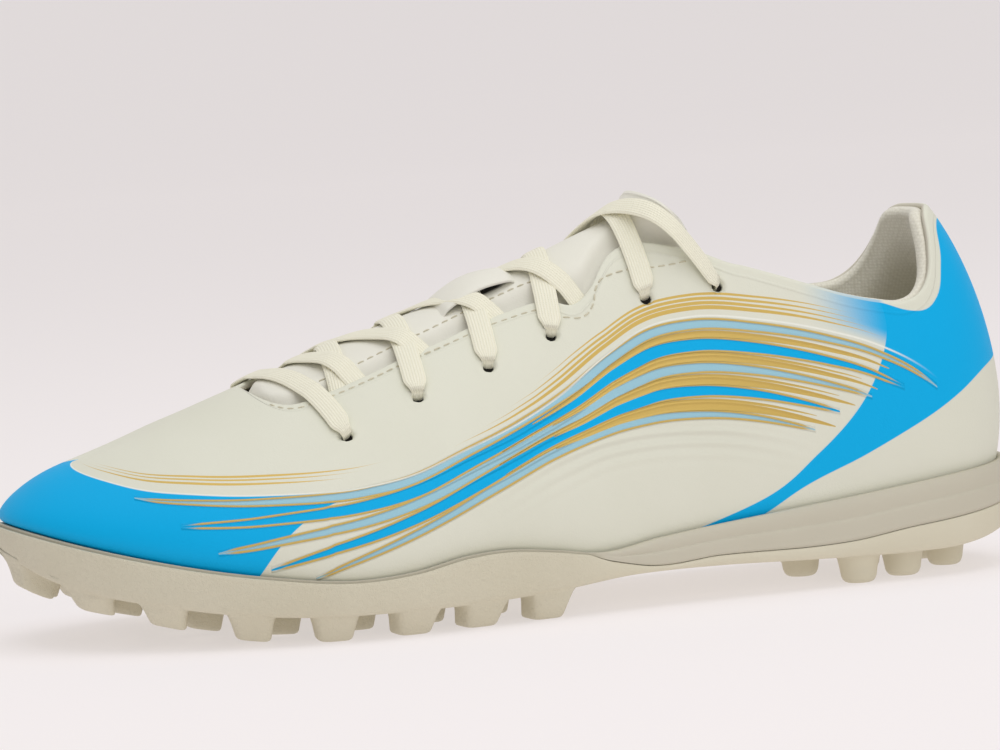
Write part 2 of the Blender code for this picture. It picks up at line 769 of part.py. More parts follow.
def make_laces(finish):
    """The bar over the front of the throat, and the five crossings behind it, joined where they meet."""
    outer = [(s, -share * BALL_WIDTH + EYELET_TO_LACE) for s, share, _, _ in EYELETS]
    inner = [(s, share * BALL_WIDTH - EYELET_TO_LACE) for _, _, s, share in EYELETS]
    both = (LATERAL, MEDIAL)
    lace_strip("lace_bar", outer[0], inner[0], both, finish)

    def under_edge(station, side):
        return (station, side * (throat_half(station, side) - LACE_WIDTH / 2))

    strands = [
        (under_edge(FIRST_STRANDS[0], LATERAL), under_edge(LACE_EXITS[0][1], MEDIAL), ()),
        (under_edge(FIRST_STRANDS[1], MEDIAL), under_edge(LACE_EXITS[0][0], LATERAL), ()),
    ]
    for row in range(1, len(LACE_EXITS)):
        strands.append((outer[row], under_edge(LACE_EXITS[row][1], MEDIAL), (LATERAL,)))
        strands.append((inner[row], under_edge(LACE_EXITS[row][0], LATERAL), (MEDIAL,)))
    strands.append((outer[-2], (inner[-1][0] + TOP_LACE_END, inner[-1][1]), both))
    strands.append((inner[-2], (outer[-1][0] + TOP_LACE_END, outer[-1][1]), both))
    laces = lace_strip("laces", *strands[0], finish)
    for number, strand in enumerate(strands[1:], 2):
        bow = TOP_LACE_BOWS[number % 2 - 1] if number > 2 * len(LACE_EXITS) else 0.0
        boolean(laces, lace_strip(f"lace_strand_{number}", *strand, finish, bow), "UNION")


def make_lace_keeper(finish):
    """A band on the tongue, held at its two ends, with room for the third crossing under it."""
    rows, columns = 10, 4
    loops = []
    for row in range(rows + 1):
        place = row / rows
        station = mix(*KEEPER_ENDS, place)
        raised = (LACE_THICKNESS + 2 * GAP) * ease(0, KEEPER_RAMP, min(place, 1 - place))
        bottom, top = [], []
        for column in range(columns + 1):
            across = tongue_middle(station) - KEEPER_SHIFT + KEEPER_HALF_WIDTH * (2 * column / columns - 1)
            lift = tongue_top(station, across) + 1.5 * GAP + raised
            bottom.append(over_instep(station, across, lift))
            top.append(over_instep(station, across, lift + KEEPER_THICKNESS))
        loops.append(bottom + top[::-1])
    lofted("lace_keeper", loops, finish)


def clear_scene():
    for existing in list(bpy.data.objects):
        bpy.data.objects.remove(existing, do_unlink=True)


def stand_on_origin():
    """Moves the whole shoe so that the middle of its box, at the floor, is the origin."""
    bpy.context.view_layer.update()
    corners = np.array([
        item.matrix_world @ vertex.co
        for item in bpy.data.objects
        if not item.hide_render
        for vertex in item.data.vertices
    ])
    low, high = corners.min(axis=0), corners.max(axis=0)
    for item in bpy.data.objects:
        item.location.x -= (low[0] + high[0]) / 2
        item.location.y -= (low[1] + high[1]) / 2


clear_scene()
rubber = material("moulded_rubber", (0.58, 0.55, 0.46), 0.62)
foam = material("midsole_foam", (0.60, 0.57, 0.49), 0.60)
synthetic = material("coated_synthetic", (0.69, 0.68, 0.58), 0.50)
textile = material("lining_textile", (0.62, 0.60, 0.52), 0.85)
cotton = material("lace_tape", (0.74, 0.71, 0.57), 0.80)
make_outsole(rubber)
make_midsole(foam)
make_insole(textile)
make_upper(synthetic)
make_collar_lining(textile)
make_tongue(synthetic)
make_lace_keeper(synthetic)
make_laces(cotton)
stand_on_origin()
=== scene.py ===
import math

import bmesh
import bpy
import numpy as np
from mathutils import Matrix, Vector


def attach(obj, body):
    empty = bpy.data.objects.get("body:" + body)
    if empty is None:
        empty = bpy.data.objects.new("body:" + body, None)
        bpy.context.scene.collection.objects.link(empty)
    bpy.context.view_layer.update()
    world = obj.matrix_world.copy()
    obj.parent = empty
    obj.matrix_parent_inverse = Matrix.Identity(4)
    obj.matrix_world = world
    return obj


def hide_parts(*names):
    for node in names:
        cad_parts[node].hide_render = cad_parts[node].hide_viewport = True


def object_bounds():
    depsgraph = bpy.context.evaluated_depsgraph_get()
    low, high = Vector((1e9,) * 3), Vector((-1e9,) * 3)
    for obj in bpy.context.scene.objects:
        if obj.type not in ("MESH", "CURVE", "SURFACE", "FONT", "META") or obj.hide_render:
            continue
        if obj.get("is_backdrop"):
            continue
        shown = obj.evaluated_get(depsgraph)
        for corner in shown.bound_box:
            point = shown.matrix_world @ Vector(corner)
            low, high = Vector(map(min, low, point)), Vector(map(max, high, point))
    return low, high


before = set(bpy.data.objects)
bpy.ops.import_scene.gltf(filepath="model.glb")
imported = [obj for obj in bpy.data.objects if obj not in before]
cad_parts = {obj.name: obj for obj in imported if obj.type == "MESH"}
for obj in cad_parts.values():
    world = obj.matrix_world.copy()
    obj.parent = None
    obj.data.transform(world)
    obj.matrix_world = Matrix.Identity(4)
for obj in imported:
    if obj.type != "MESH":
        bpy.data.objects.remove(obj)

cad_low, cad_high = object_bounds()
scene = bpy.context.scene
scene.view_settings.view_transform = "Standard"

# Camera
# The photograph looks at the outer side from a little ahead of the shoe and a little above it, through a long
# lens, and it is rolled by a few degrees. The shoe's real length sets the distance.
CAMERA_TURN, CAMERA_RISE, CAMERA_ROLL = math.radians(17), math.radians(5), math.radians(3.28)
CAMERA_DISTANCE = 1.5
LENS_IN_PIXELS = 5384
PHOTO_WIDTH = 1000
SENSOR = 36
aim = Vector((-0.0027, 0.0, 0.064))
away = Vector((
    -math.sin(CAMERA_TURN) * math.cos(CAMERA_RISE),
    -math.cos(CAMERA_TURN) * math.cos(CAMERA_RISE),
    math.sin(CAMERA_RISE),
))
level = Vector((math.cos(CAMERA_TURN), -math.sin(CAMERA_TURN), 0))
upright = away.cross(level)
right = math.cos(CAMERA_ROLL) * level - math.sin(CAMERA_ROLL) * upright
top = math.sin(CAMERA_ROLL) * level + math.cos(CAMERA_ROLL) * upright
camera = bpy.data.objects.new("camera", bpy.data.cameras.new("camera"))
scene.collection.objects.link(camera)
camera.data.sensor_width = SENSOR
camera.data.lens = LENS_IN_PIXELS * SENSOR / PHOTO_WIDTH
turned = Matrix((right, top, away)).transposed().to_4x4()
camera.matrix_world = Matrix.Translation(aim + away * CAMERA_DISTANCE) @ turned
scene.camera = camera

# Studio
# A sheet of pale paper that curves up behind the shoe, a large soft light overhead, one from the side that
# the camera sees and a weaker one from the heel, so that the shadow under the sole stays soft.


def linear(colour):
    """An sRGB hex colour as linear red, green, blue and alpha."""
    shares = [int(colour[i:i + 2], 16) / 255 for i in (1, 3, 5)]
    return (*[s / 12.92 if s <= 0.04045 else ((s + 0.055) / 1.055) ** 2.4 for s in shares], 1.0)


def node(tree, kind, inputs=None, out=0, **settings):
    """Adds a node with its settings, its linked or fixed inputs, and gives one of its outputs."""
    made = tree.nodes.new(kind)
    for name, value in settings.items():
        setattr(made, name, value)
    for name, value in (inputs or {}).items():
        if isinstance(value, bpy.types.NodeSocket):
            tree.links.new(value, made.inputs[name])
        else:
            made.inputs[name].default_value = value
    return made.outputs[out]


def new_material(name):
    """A material with only its Principled shader, and that shader."""
    made = bpy.data.materials.new(name)
    made.use_nodes = True
    return made, made.node_tree, made.node_tree.nodes["Principled BSDF"]


def new_piece(name, vertices, faces, finish, attributes=None, merge=0.0):
    """A smooth-shaded mesh object. Attributes are values at its points."""
    mesh = bpy.data.meshes.new(name)
    mesh.from_pydata(np.asarray(vertices).tolist(), [], faces)
    for key, values in (attributes or {}).items():
        layer = mesh.attributes.new(key, "FLOAT", "POINT")
        layer.data.foreach_set("value", np.asarray(values, np.float32).ravel())
    work = bmesh.new()
    work.from_mesh(mesh)
    if merge:
        bmesh.ops.remove_doubles(work, verts=work.verts, dist=merge)
    bmesh.ops.recalc_face_normals(work, faces=work.faces)
    work.to_mesh(mesh)
    work.free()
    mesh.shade_smooth()
    mesh.materials.append(finish)
    made = bpy.data.objects.new(name, mesh)
    scene.collection.objects.link(made)
    return made


PAPER_WIDTH, PAPER_FRONT, PAPER_BACK, PAPER_BEND, PAPER_TOP = 9.0, -4.5, 2.3, 0.8, 3.0
paper, tree, shader = new_material("studio_paper")
# Lit from behind like a light table, which keeps the shadow faint.
shader.inputs["Emission Color"].default_value = linear("#FAF5F4")
shader.inputs["Emission Strength"].default_value = 0.54
shader.inputs["Base Color"].default_value = linear("#ABA6A6")
shader.inputs["Roughness"].default_value = 0.9
shader.inputs["Specular IOR Level"].default_value = 0.1
profile = [(PAPER_FRONT, 0.0), (PAPER_BACK, 0.0)]
for step in range(1, 13):
    angle = math.radians(90 * step / 12)
    profile.append((PAPER_BACK + PAPER_BEND * math.sin(angle), PAPER_BEND * (1 - math.cos(angle))))
profile.append((PAPER_BACK + PAPER_BEND, PAPER_TOP))
points = [(x, y, z) for y, z in profile for x in (-PAPER_WIDTH / 2, PAPER_WIDTH / 2)]
quads = [(2 * i, 2 * i + 1, 2 * i + 3, 2 * i + 2) for i in range(len(profile) - 1)]
backdrop = new_piece("studio_backdrop", points, quads, paper)
backdrop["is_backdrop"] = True

for name, place, size, power in (
    ("overhead_light", (0.05, -0.15, 1.25), 1.3, 8.4),
    ("side_light", (0.10, -1.55, 0.62), 0.9, 4.4),
    ("heel_light", (1.2, -0.7, 0.6), 0.8, 0.9),
):
    lamp = bpy.data.objects.new(name, bpy.data.lights.new(name, "AREA"))
    lamp.data.size = size
    lamp.data.energy = power
    lamp.location = place
    lamp.rotation_euler = (Vector((0, 0, 0.04)) - lamp.location).to_track_quat("-Z", "Y").to_euler()
    scene.collection.objects.link(lamp)
world = bpy.data.worlds.new("studio_air")
scene.world = world
world.use_nodes = True
world.node_tree.nodes["Background"].inputs["Color"].default_value = linear("#F4F2F4")
world.node_tree.nodes["Background"].inputs["Strength"].default_value = 0.47

# Outsole
# Moulded rubber in the colour of old ivory: a plate that wraps up round the forefoot in one wave, with
# tapered lugs under the forefoot and round studs under the heel. All of it is one moulding, and its walls have
# a leather-like grain.
OUTER, INNER = -1.0, 1.0
LENGTH, BALL_WIDTH, WAIST_WIDTH, HEEL_WIDTH = 0.292, 0.103, 0.0705, 0.070
INSTEP_HEIGHT, TOE_SPRING = 0.100, 0.018
LUG_DEPTH, LUG_LENGTH, LUG_WIDTH, LUG_TAPER, LUG_FLARE = 0.0072, 0.0096, 0.0104, 0.0021, 0.0046
TOE_LUG_LIFT, STUD_RADIUS, EDGE_LUG = 0.0024, 0.0052, 0.55
PLATE_THICKNESS, WALL_THICKNESS = 0.0018, 0.0013
HEEL_ROUND, TOE_ROUND = 0.13, 0.30
HEEL_BLUNT, TOE_BLUNT = 2.1, 2.05
GAP = 0.0003

# Plan of the sole: station, full width before the ends are rounded, shift of the centre line towards the
# inner side as a share of the ball width
PLAN = (
    (0.00, HEEL_WIDTH, 0.010),
    (0.13, HEEL_WIDTH, 0.000),
    (0.26, 0.55 * HEEL_WIDTH + 0.45 * WAIST_WIDTH, -0.020),
    (0.40, WAIST_WIDTH, -0.042),
    (0.54, 0.50 * WAIST_WIDTH + 0.50 * BALL_WIDTH, -0.036),
    (0.68, BALL_WIDTH, -0.012),
    (0.80, 0.99 * BALL_WIDTH, 0.020),
    (0.90, 0.97 * BALL_WIDTH, 0.050),
    (1.00, 0.95 * BALL_WIDTH, 0.085),
)

# Underside of the plate above the ground: station, share of the lug depth, share of the toe spring
UNDERSIDE = (
    (0.00, 1.80, 0.00),
    (0.03, 1.45, 0.00),
    (0.08, 1.15, 0.00),
    (0.14, 1.08, 0.00),
    (0.24, 1.18, 0.00),
    (0.34, 1.33, 0.00),
    (0.43, 1.33, 0.00),
    (0.50, 1.10, 0.00),
    (0.55, 1.00, 0.00),
    (0.73, 1.00, 0.00),
    (0.80, 1.00, 0.08),
    (0.88, 1.00, 0.28),
    (0.94, 1.00, 0.50),
    (0.98, 1.00, 0.76),
    (1.00, 1.00, 1.00),
)

# Top edge of the sole unit, as shares of the instep height: station, outer side, inner side
SOLE_TOP = (
    (0.00, 0.302, 0.302),
    (0.08, 0.287, 0.290),
    (0.20, 0.250, 0.258),
    (0.30, 0.222, 0.236),
    (0.40, 0.190, 0.208),
    (0.46, 0.168, 0.188),
    (0.51, 0.190, 0.176),
    (0.56, 0.206, 0.170),
    (0.60, 0.201, 0.167),
    (0.65, 0.176, 0.165),
    (0.70, 0.166, 0.168),
    (0.80, 0.196, 0.202),
    (0.90, 0.255, 0.260),
    (0.96, 0.302, 0.302),
    (1.00, 0.338, 0.338),
)

# Top edge of the outsole's wall, as a share of the height from its underside to the sole unit's top edge
OUTSOLE_WALL = (
    (0.00, 0.40),
    (0.05, 0.41),
    (0.10, 0.40),
    (0.15, 0.36),
    (0.20, 0.27),
    (0.34, 0.25),
    (0.42, 0.27),
    (0.45, 0.62),
    (0.48, 1.00),
    (1.00, 1.00),
)

# Lugs of the forefoot: station, place across as a share of the half width, with the outer side negative
LUGS = (
    (0.972, -0.20), (0.926, -0.58), (0.868, -0.70), (0.796, -0.74), (0.724, -0.75), (0.652, -0.76),
    (0.586, -0.75), (0.518, -0.74),
    (0.958, 0.38), (0.905, 0.64), (0.840, 0.72), (0.770, 0.75), (0.700, 0.75), (0.630, 0.74),
    (0.560, 0.72), (0.500, 0.70),
    (0.893, -0.16), (0.893, 0.24), (0.827, -0.34), (0.830, 0.02), (0.818, 0.38), (0.757, -0.37),
    (0.757, 0.00), (0.747, 0.38), (0.687, -0.38), (0.687, 0.00), (0.680, 0.38), (0.618, -0.36),
    (0.618, 0.02), (0.612, 0.40), (0.550, -0.26), (0.546, 0.24),
)

# Round studs of the heel, given in the same way
STUDS = (
    (0.188, -0.72), (0.134, -0.56), (0.072, -0.22), (0.188, 0.72), (0.134, 0.58), (0.072, 0.36),
    (0.216, 0.00), (0.150, 0.02),
)


def smooth(rows, station, column=1):
    """A table's column at one or many stations, on a smooth curve through its rows."""
    table = np.array(rows, float)
    row_at, value = table[:, 0], table[:, column]
    slope = np.gradient(value, row_at)
    at = np.clip(station, row_at[0], row_at[-1])
    i = np.clip(np.searchsorted(row_at, at, side="right") - 1, 0, len(row_at) - 2)
    gap = row_at[i + 1] - row_at[i]
    t = (at - row_at[i]) / gap
    rise = (3 * t**2 - 2 * t**3) * (value[i + 1] - value[i])
    return value[i] + rise + (t**3 - 2 * t**2 + t) * gap * slope[i] + (t**3 - t**2) * gap * slope[i + 1]


def ease(low, high, value):
    t = np.clip((value - low) / (high - low), 0, 1)
    return t * t * (3 - 2 * t)


def by_side(rows, station, side):
    return np.where(side < 0, smooth(rows, station, 1), smooth(rows, station, 2))


def along(station):
    return LENGTH * (0.5 - station)


def half_width(station):
    heel = np.clip(1 - station / HEEL_ROUND, 0, 1)
    toe = np.clip((station - 1 + TOE_ROUND) / TOE_ROUND, 0, 1)
    ends = (1 - heel**HEEL_BLUNT) ** (1 / HEEL_BLUNT) * (1 - toe**TOE_BLUNT) ** (1 / TOE_BLUNT)
    return 0.5 * smooth(PLAN, station) * ends


def plan_point(station, side):
    """A point of the sole's outline, with the shoe's box centred on the origin as in the frame."""
    across = smooth(PLAN, station, 2) * BALL_WIDTH + side * half_width(station) - plan_middle
    return np.stack([along(station) + 0 * across, across], -1)


def outward(station, side):
    """The outline's outward direction, from two points close by."""
    step = 1e-4
    behind = plan_point(np.abs(station - step), np.where(station >= step, side, -side))
    over = station + step
    ahead = plan_point(np.where(over <= 1, over, 2 - over), np.where(over <= 1, side, -side))
    run = ahead - behind
    normal = np.stack([run[..., 1] * side, -run[..., 0] * side], -1)
    return normal / np.linalg.norm(normal, axis=-1, keepdims=True)


def inset(station, side, depth, height):
    flat = plan_point(station, side) - outward(station, side) * (depth + 0 * station)[..., None]
    return np.concatenate([flat, (height + 0 * station)[..., None]], -1)


def ground(station):
    return np.maximum(0, smooth(UNDERSIDE, station, 2)) * TOE_SPRING


def underside(station):
    return smooth(UNDERSIDE, station) * LUG_DEPTH + ground(station)


def sole_top(station, side):
    return by_side(SOLE_TOP, station, side) * INSTEP_HEIGHT


def outsole_top(station, side):
    low, high = underside(station), sole_top(station, side)
    return np.minimum(low + (high - low) * smooth(OUTSOLE_WALL, station), high - 2 * GAP)


def outline(heel_steps, middle_steps, toe_steps, extra=()):
    """Stations and sides round the outline: heel to toe on the outer side, and back on the inner side."""
    heel = HEEL_ROUND * (1 - np.cos(np.linspace(0, math.pi / 2, heel_steps, endpoint=False)))
    middle = np.linspace(HEEL_ROUND, 1 - TOE_ROUND, middle_steps, endpoint=False)
    toe = 1 - TOE_ROUND + TOE_ROUND * np.sin(np.linspace(0, math.pi / 2, toe_steps))
    found = np.unique(np.concatenate([heel, middle, toe, extra]))
    return np.concatenate([found, found[-2:0:-1]]), np.repeat([OUTER, INNER], [len(found), len(found) - 2])


def ring_quads(rows, count):
    """Faces between rings of points that follow each other."""
    here = np.arange((rows - 1) * count).reshape(rows - 1, count)
    beside = np.roll(here, -1, axis=1)
    return np.stack([here, beside, beside + count, here + count], -1).reshape(-1, 4).tolist()


def cap_strips(start, count):
    """Faces that close a ring by strips from the outer to the inner side."""
    faces = []
    for i in range(count // 2):
        strip = (start + i, start + i + 1, start + (count - i - 1) % count, start + (count - i) % count)
        faces.append(tuple(dict.fromkeys(strip)))
    return faces


def capped_stack(rows):
    """Faces of a stack of wide rings, closed at its first and last ring."""
    count = len(rows[0])
    return ring_quads(len(rows), count) + cap_strips(0, count) + cap_strips((len(rows) - 1) * count, count)


def tube(first, rings, sides):
    """Faces of a stack of small rings with flat ends, counted on from a first point."""
    last = first + (rings - 1) * sides
    quads = [[first + i for i in quad] for quad in ring_quads(rings, sides)]
    return [*quads, list(range(first, first + sides)), list(range(last, last + sides))]


def maths(tree, operation, *values):
    """Adds a math node with its one, two or three values."""
    return node(tree, "ShaderNodeMath", dict(enumerate(values)), operation=operation)


def noise(tree, place, scale, detail, roughness=0.5):
    """Adds a cloudy pattern. Its scale is in patches to the metre."""
    inputs = {"Vector": place, "Scale": scale, "Detail": detail, "Roughness": roughness}
    return node(tree, "ShaderNodeTexNoise", inputs)


def blend(tree, share, *colours):
    """Mixes two colours, each a hex colour or the output of a node."""
    first, second = [linear(colour) if isinstance(colour, str) else colour for colour in colours]
    return node(tree, "ShaderNodeMixRGB", {"Fac": share, 1: first, 2: second})


def dress(tree, shader, colour, height, distance, strength):
    """Links a material's colour, and its relief as bump."""
    bump = node(tree, "ShaderNodeBump", {"Height": height, "Distance": distance, "Strength": strength})
    tree.links.new(colour, shader.inputs["Base Color"])
    tree.links.new(bump, shader.inputs["Normal"])


plan_middle = 0.0
sweep = np.linspace(0, 1, 2001)
plan_middle = (plan_point(sweep, OUTER)[:, 1].min() + plan_point(sweep, INNER)[:, 1].max()) / 2

ivory_rubber, tree, shader = new_material("moulded_ivory_rubber")
# Rubber filled with chalk and pigment: matt, and the mould's leather-like grain shows on the walls.
GRAIN_SIZE = 0.0011
place = node(tree, "ShaderNodeTexCoord", out=3)
cells = node(tree, "ShaderNodeTexVoronoi", {"Vector": place, "Scale": 1 / GRAIN_SIZE}, feature="SMOOTH_F1")
cloud = noise(tree, place, 3.2 / GRAIN_SIZE, 3.0)
patches = noise(tree, place, 38.0, 2.0)
grained = node(tree, "ShaderNodeAttribute", out=2, attribute_name="grained")
mixed = maths(tree, "MULTIPLY_ADD", cells, 0.6, cloud)
height = maths(tree, "MULTIPLY", mixed, grained)
dress(tree, shader, blend(tree, patches, "#D3CCB4", "#DCD6C1"), height, 0.00034, 0.75)
shader.inputs["Roughness"].default_value = 0.62
shader.inputs["Specular IOR Level"].default_value = 0.35

# Depth of the wall's face inside the outline at shares of its height
WALL_FACE = ((0.00, 0.0022), (0.06, 0.0013), (0.20, 0.0006), (0.45, 0.0001), (0.70, 0.0000), (1.00, 0.0002))
station, side = outline(40, 150, 80)
low, high = underside(station), outsole_top(station, side)
rows = []
for share in np.linspace(0, 1, 18) ** 1.6:
    rows.append(inset(station, side, smooth(WALL_FACE, share), low + (high - low) * share))
for depth, drop in ((0.0004, -0.00012), (0.0007, -0.0001), (0.0011, 0.0), (WALL_THICKNESS, 0.0004)):
    rows.append(inset(station, side, depth, high - drop))
rows.append(inset(station, side, WALL_THICKNESS, low + PLATE_THICKNESS))
vertices = np.concatenate(rows)
grained = np.tile(ease(0.42, 0.50, station), len(rows))
faces = capped_stack(rows)


# Shares of the way from the floor to the plate, with the growth of a lug in tapers and of a stud's radius
LUG_PROFILE = ((0, -0.75), (0, -0.42), (0.03, -0.16), (0.10, 0.02), (0.25, 0.16), (0.55, 0.42), (0.80, 0.72),
               (0.95, 1.10), (1.12, 1.70), (1.25, 1.90))
STUD_PROFILE = ((0, 0.50), (0, 0.66), (0.03, 0.78), (0.09, 0.88), (0.20, 0.96), (0.45, 1.03), (0.72, 1.12),
                (0.90, 1.28), (1, 1.55))
LUG_SIDES, LUG_SQUARENESS = 28, 0.44


def lug(at, across, round_stud):
    """One lug or stud as rings of points, from its worn lower edge to its root in the plate."""
    middle = np.array([along(at), smooth(PLAN, at, 2) * BALL_WIDTH - plan_middle + across * half_width(at)])
    out = outward(np.array(at), OUTER if across < 0 else INNER)
    turn = math.atan2(out[0], abs(out[1])) * (1 if across < 0 else -1) * float(ease(0.5, 0.85, abs(across)))
    flare = 0 if round_stud or abs(across) < EDGE_LUG else LUG_FLARE
    angle = 2 * math.pi * (np.arange(LUG_SIDES) + 0.5) / LUG_SIDES
    square = 1.0 if round_stud else LUG_SQUARENESS
    cx = np.sign(np.cos(angle)) * np.abs(np.cos(angle)) ** square
    cy = np.sign(np.sin(angle)) * np.abs(np.sin(angle)) ** square
    rings = []
    for up, grow in STUD_PROFILE if round_stud else LUG_PROFILE:
        if round_stud:
            rx = ry = STUD_RADIUS * grow
        else:
            rx, ry = LUG_LENGTH / 2 + grow * LUG_TAPER, LUG_WIDTH / 2 + 0.5 * grow * LUG_TAPER
        px, py = rx * cx, ry * cy
        x = middle[0] + px * math.cos(turn) - py * math.sin(turn) + up * flare * out[0]
        y = middle[1] + px * math.sin(turn) + py * math.cos(turn) + up * flare * out[1]
        spot = 0.5 - x / LENGTH
        bottom = ground(spot) + TOE_LUG_LIFT * ease(0.78, 0.93, spot)
        root = underside(spot) + PLATE_THICKNESS / 2
        z = bottom + (root - bottom) * up
        if not round_stud:
            side = OUTER if across < 0 else INNER
            spot = np.clip(spot, 0.0, 0.9995)
            share = np.clip((z - underside(spot)) / (outsole_top(spot, side) - underside(spot)), 0, 1)
            lower = np.clip((underside(spot) - z) / LUG_DEPTH, 0, 1)
            deepest = smooth(WALL_FACE, share) + 0.00006 + 0.0016 * lower
            facing = np.abs(outward(spot, side)[:, 1])
            limit = plan_point(spot, side)[:, 1] - side * deepest / np.maximum(facing, 0.25)
            y = side * np.minimum(side * y, side * limit)
        rings.append(np.stack([x, y, z], -1))
    return rings


for at, across, round_stud in [(*row, False) for row in LUGS] + [(*row, True) for row in STUDS]:
    rings = lug(at, across, round_stud)
    faces += tube(len(vertices), len(rings), LUG_SIDES)
    vertices = np.concatenate([vertices, *rings])
    grained = np.concatenate([grained, np.full(LUG_SIDES * len(rings), float(not round_stud))])
outsole = new_piece("moulded_outsole", vertices, faces, ivory_rubber, {"grained": grained}, merge=1e-7)
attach(outsole, "root")
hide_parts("outsole")

# Midsole
# Moulded foam between outsole and upper, thick under the heel and thin under the ball. Its side wall shows
# from the waist to the heel, with a soft step where the mould parted.
COVERED = WALL_THICKNESS + GAP
FOAM_WALL, FOAM_HEEL, FOAM_BALL = 0.0015, 0.0085, 0.0034

# Foam of the midsole: station, and how far its thickness has gone from the heel's to the ball's
FOAM = (
    (0.00, 0.00),
    (0.15, 0.00),
    (0.30, 0.50),
    (0.42, 1.00),
    (1.00, 1.00),
)


def bed(station):
    """Top of the midsole, where the insole lies."""
    thickness = FOAM_HEEL + (FOAM_BALL - FOAM_HEEL) * smooth(FOAM, station)
    settled = 1 - 0.35 * (1 - ease(0, 0.06, station))
    return underside(station) * settled + PLATE_THICKNESS + GAP + thickness


foam_skin, tree, shader = new_material("moulded_foam")
# The skin of moulded foam: finer and duller than the rubber, with only a faint cloudiness.
place = node(tree, "ShaderNodeTexCoord", out=3)
pores = noise(tree, place, 2600.0, 2.0)
patches = noise(tree, place, 30.0, 2.0)
dress(tree, shader, blend(tree, patches, "#C5BFAC", "#CDC8B6"), pores, 0.00008, 0.35)
shader.inputs["Roughness"].default_value = 0.58
shader.inputs["Specular IOR Level"].default_value = 0.35

# Soft step and fine crease of the wall: share of the wall's height, and depth
FOAM_FACE = ((0.00, 0.0003), (0.30, 0.0000), (0.47, 0.0000), (0.53, 0.0005), (0.60, 0.0004), (0.90, 0.0005),
             (1.00, 0.0011))
station, side = outline(40, 150, 80)
top = sole_top(station, side)
lip = outsole_top(station, side) + GAP
hidden = COVERED * (1 - ease(GAP, 0.0025, top - lip))
rows = [
    inset(station, side, COVERED, underside(station) + PLATE_THICKNESS + GAP),
    inset(station, side, COVERED, lip - 0.0006),
    inset(station, side, COVERED, lip),
]
for share in (0, 0.08, 0.2, 0.34, 0.44, 0.48, 0.50, 0.52, 0.54, 0.58, 0.66, 0.76, 0.86, 0.93, 0.97, 1.0):
    depth = np.maximum(hidden, smooth(FOAM_FACE, share) * ease(0.001, 0.006, top - lip))
    rows.append(inset(station, side, depth, lip + (top - lip) * share))
rows.append(inset(station, side, np.maximum(hidden, 0.0016), top + 0.00015))
rows.append(inset(station, side, COVERED + FOAM_WALL, top))
rows.append(inset(station, side, COVERED + FOAM_WALL, bed(station)))
faces = capped_stack(rows)
midsole = new_piece("foam_midsole", np.concatenate(rows), faces, foam_skin, merge=1e-7)
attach(midsole, "root")
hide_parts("midsole")

# Upper
# One thin hollow shell of coated synthetic, lasted over the foot and tucked into the sole unit. Its grooves
# and blades are embossed, its colours are printed and its gold is foil, but for a painted highlight along the
# cap line and painted shade in the eyelets. The design is this object's own.
HEEL_TAB_HEIGHT, COLLAR_DIP_HEIGHT = 0.1025, 0.077
UPPER_WALL, UPPER_BULGE, BULGE_PEAK = 0.0020, 0.0026, 0.20
COLLAR_END, THROAT_FRONT, THROAT_ROUND = 0.31, 0.765, 0.046
HEEL_LEAN, TOE_LEAN = 0.16, 0.085
COLLAR_BORDER = 0.0042
FOOT_INSET = COVERED + FOAM_WALL + GAP

# Ridge of the upper: station, height as a share of the instep height, shift as a share of the ball width,
# fullness of the section on the outer and the inner side
RIDGE = (
    (0.00, 1.190, 0.000, 2.52, 2.52),
    (0.12, 1.190, 0.000, 2.24, 2.24),
    (0.22, 1.175, -0.005, 1.97, 1.97),
    (0.32, 1.130, -0.002, 1.85, 1.90),
    (0.40, 1.046, 0.005, 1.80, 1.95),
    (0.48, 0.953, 0.015, 1.76, 2.05),
    (0.56, 0.863, 0.030, 1.76, 2.15),
    (0.64, 0.783, 0.046, 1.80, 2.15),
    (0.72, 0.703, 0.056, 1.82, 2.05),
    (0.80, 0.621, 0.060, 1.85, 1.95),
    (0.86, 0.556, 0.065, 1.82, 1.85),
    (0.92, 0.494, 0.068, 1.68, 1.60),
    (1.00, 0.420, 0.075, 1.45, 1.40),
)

# Half widths of the throat from the ridge, as shares of the ball width: station, outer side, inner side
THROAT = (
    (0.29, 0.215, 0.210),
    (0.34, 0.170, 0.185),
    (0.41, 0.135, 0.168),
    (0.435, 0.185, 0.165),
    (0.452, 0.200, 0.163),
    (0.475, 0.180, 0.160),
    (0.52, 0.178, 0.150),
    (0.60, 0.208, 0.132),
    (0.68, 0.240, 0.105),
    (0.77, 0.235, 0.070),
)

# Collar's edge, as a share of the rise from the dip to the heel tab: station, outer side, inner side
COLLAR = (
    (0.000, 1.00, 1.00),
    (0.020, 0.98, 0.98),
    (0.040, 0.86, 0.88),
    (0.060, 0.58, 0.66),
    (0.080, 0.26, 0.42),
    (0.100, 0.07, 0.24),
    (0.120, 0.00, 0.14),
    (0.150, 0.04, 0.11),
    (0.180, 0.12, 0.14),
    (0.220, 0.27, 0.21),
    (0.260, 0.43, 0.29),
    (0.310, 0.62, 0.36),
)

# Eyelets from the toe up: station and distance from the ridge as a share of the ball width, outer side then
# inner side
EYELETS = (
    (0.695, 0.370, 0.752, 0.155),
    (0.620, 0.325, 0.690, 0.190),
    (0.547, 0.283, 0.617, 0.200),
    (0.480, 0.240, 0.550, 0.203),
    (0.383, 0.216, 0.453, 0.202),
    (0.313, 0.225, 0.383, 0.206),
)


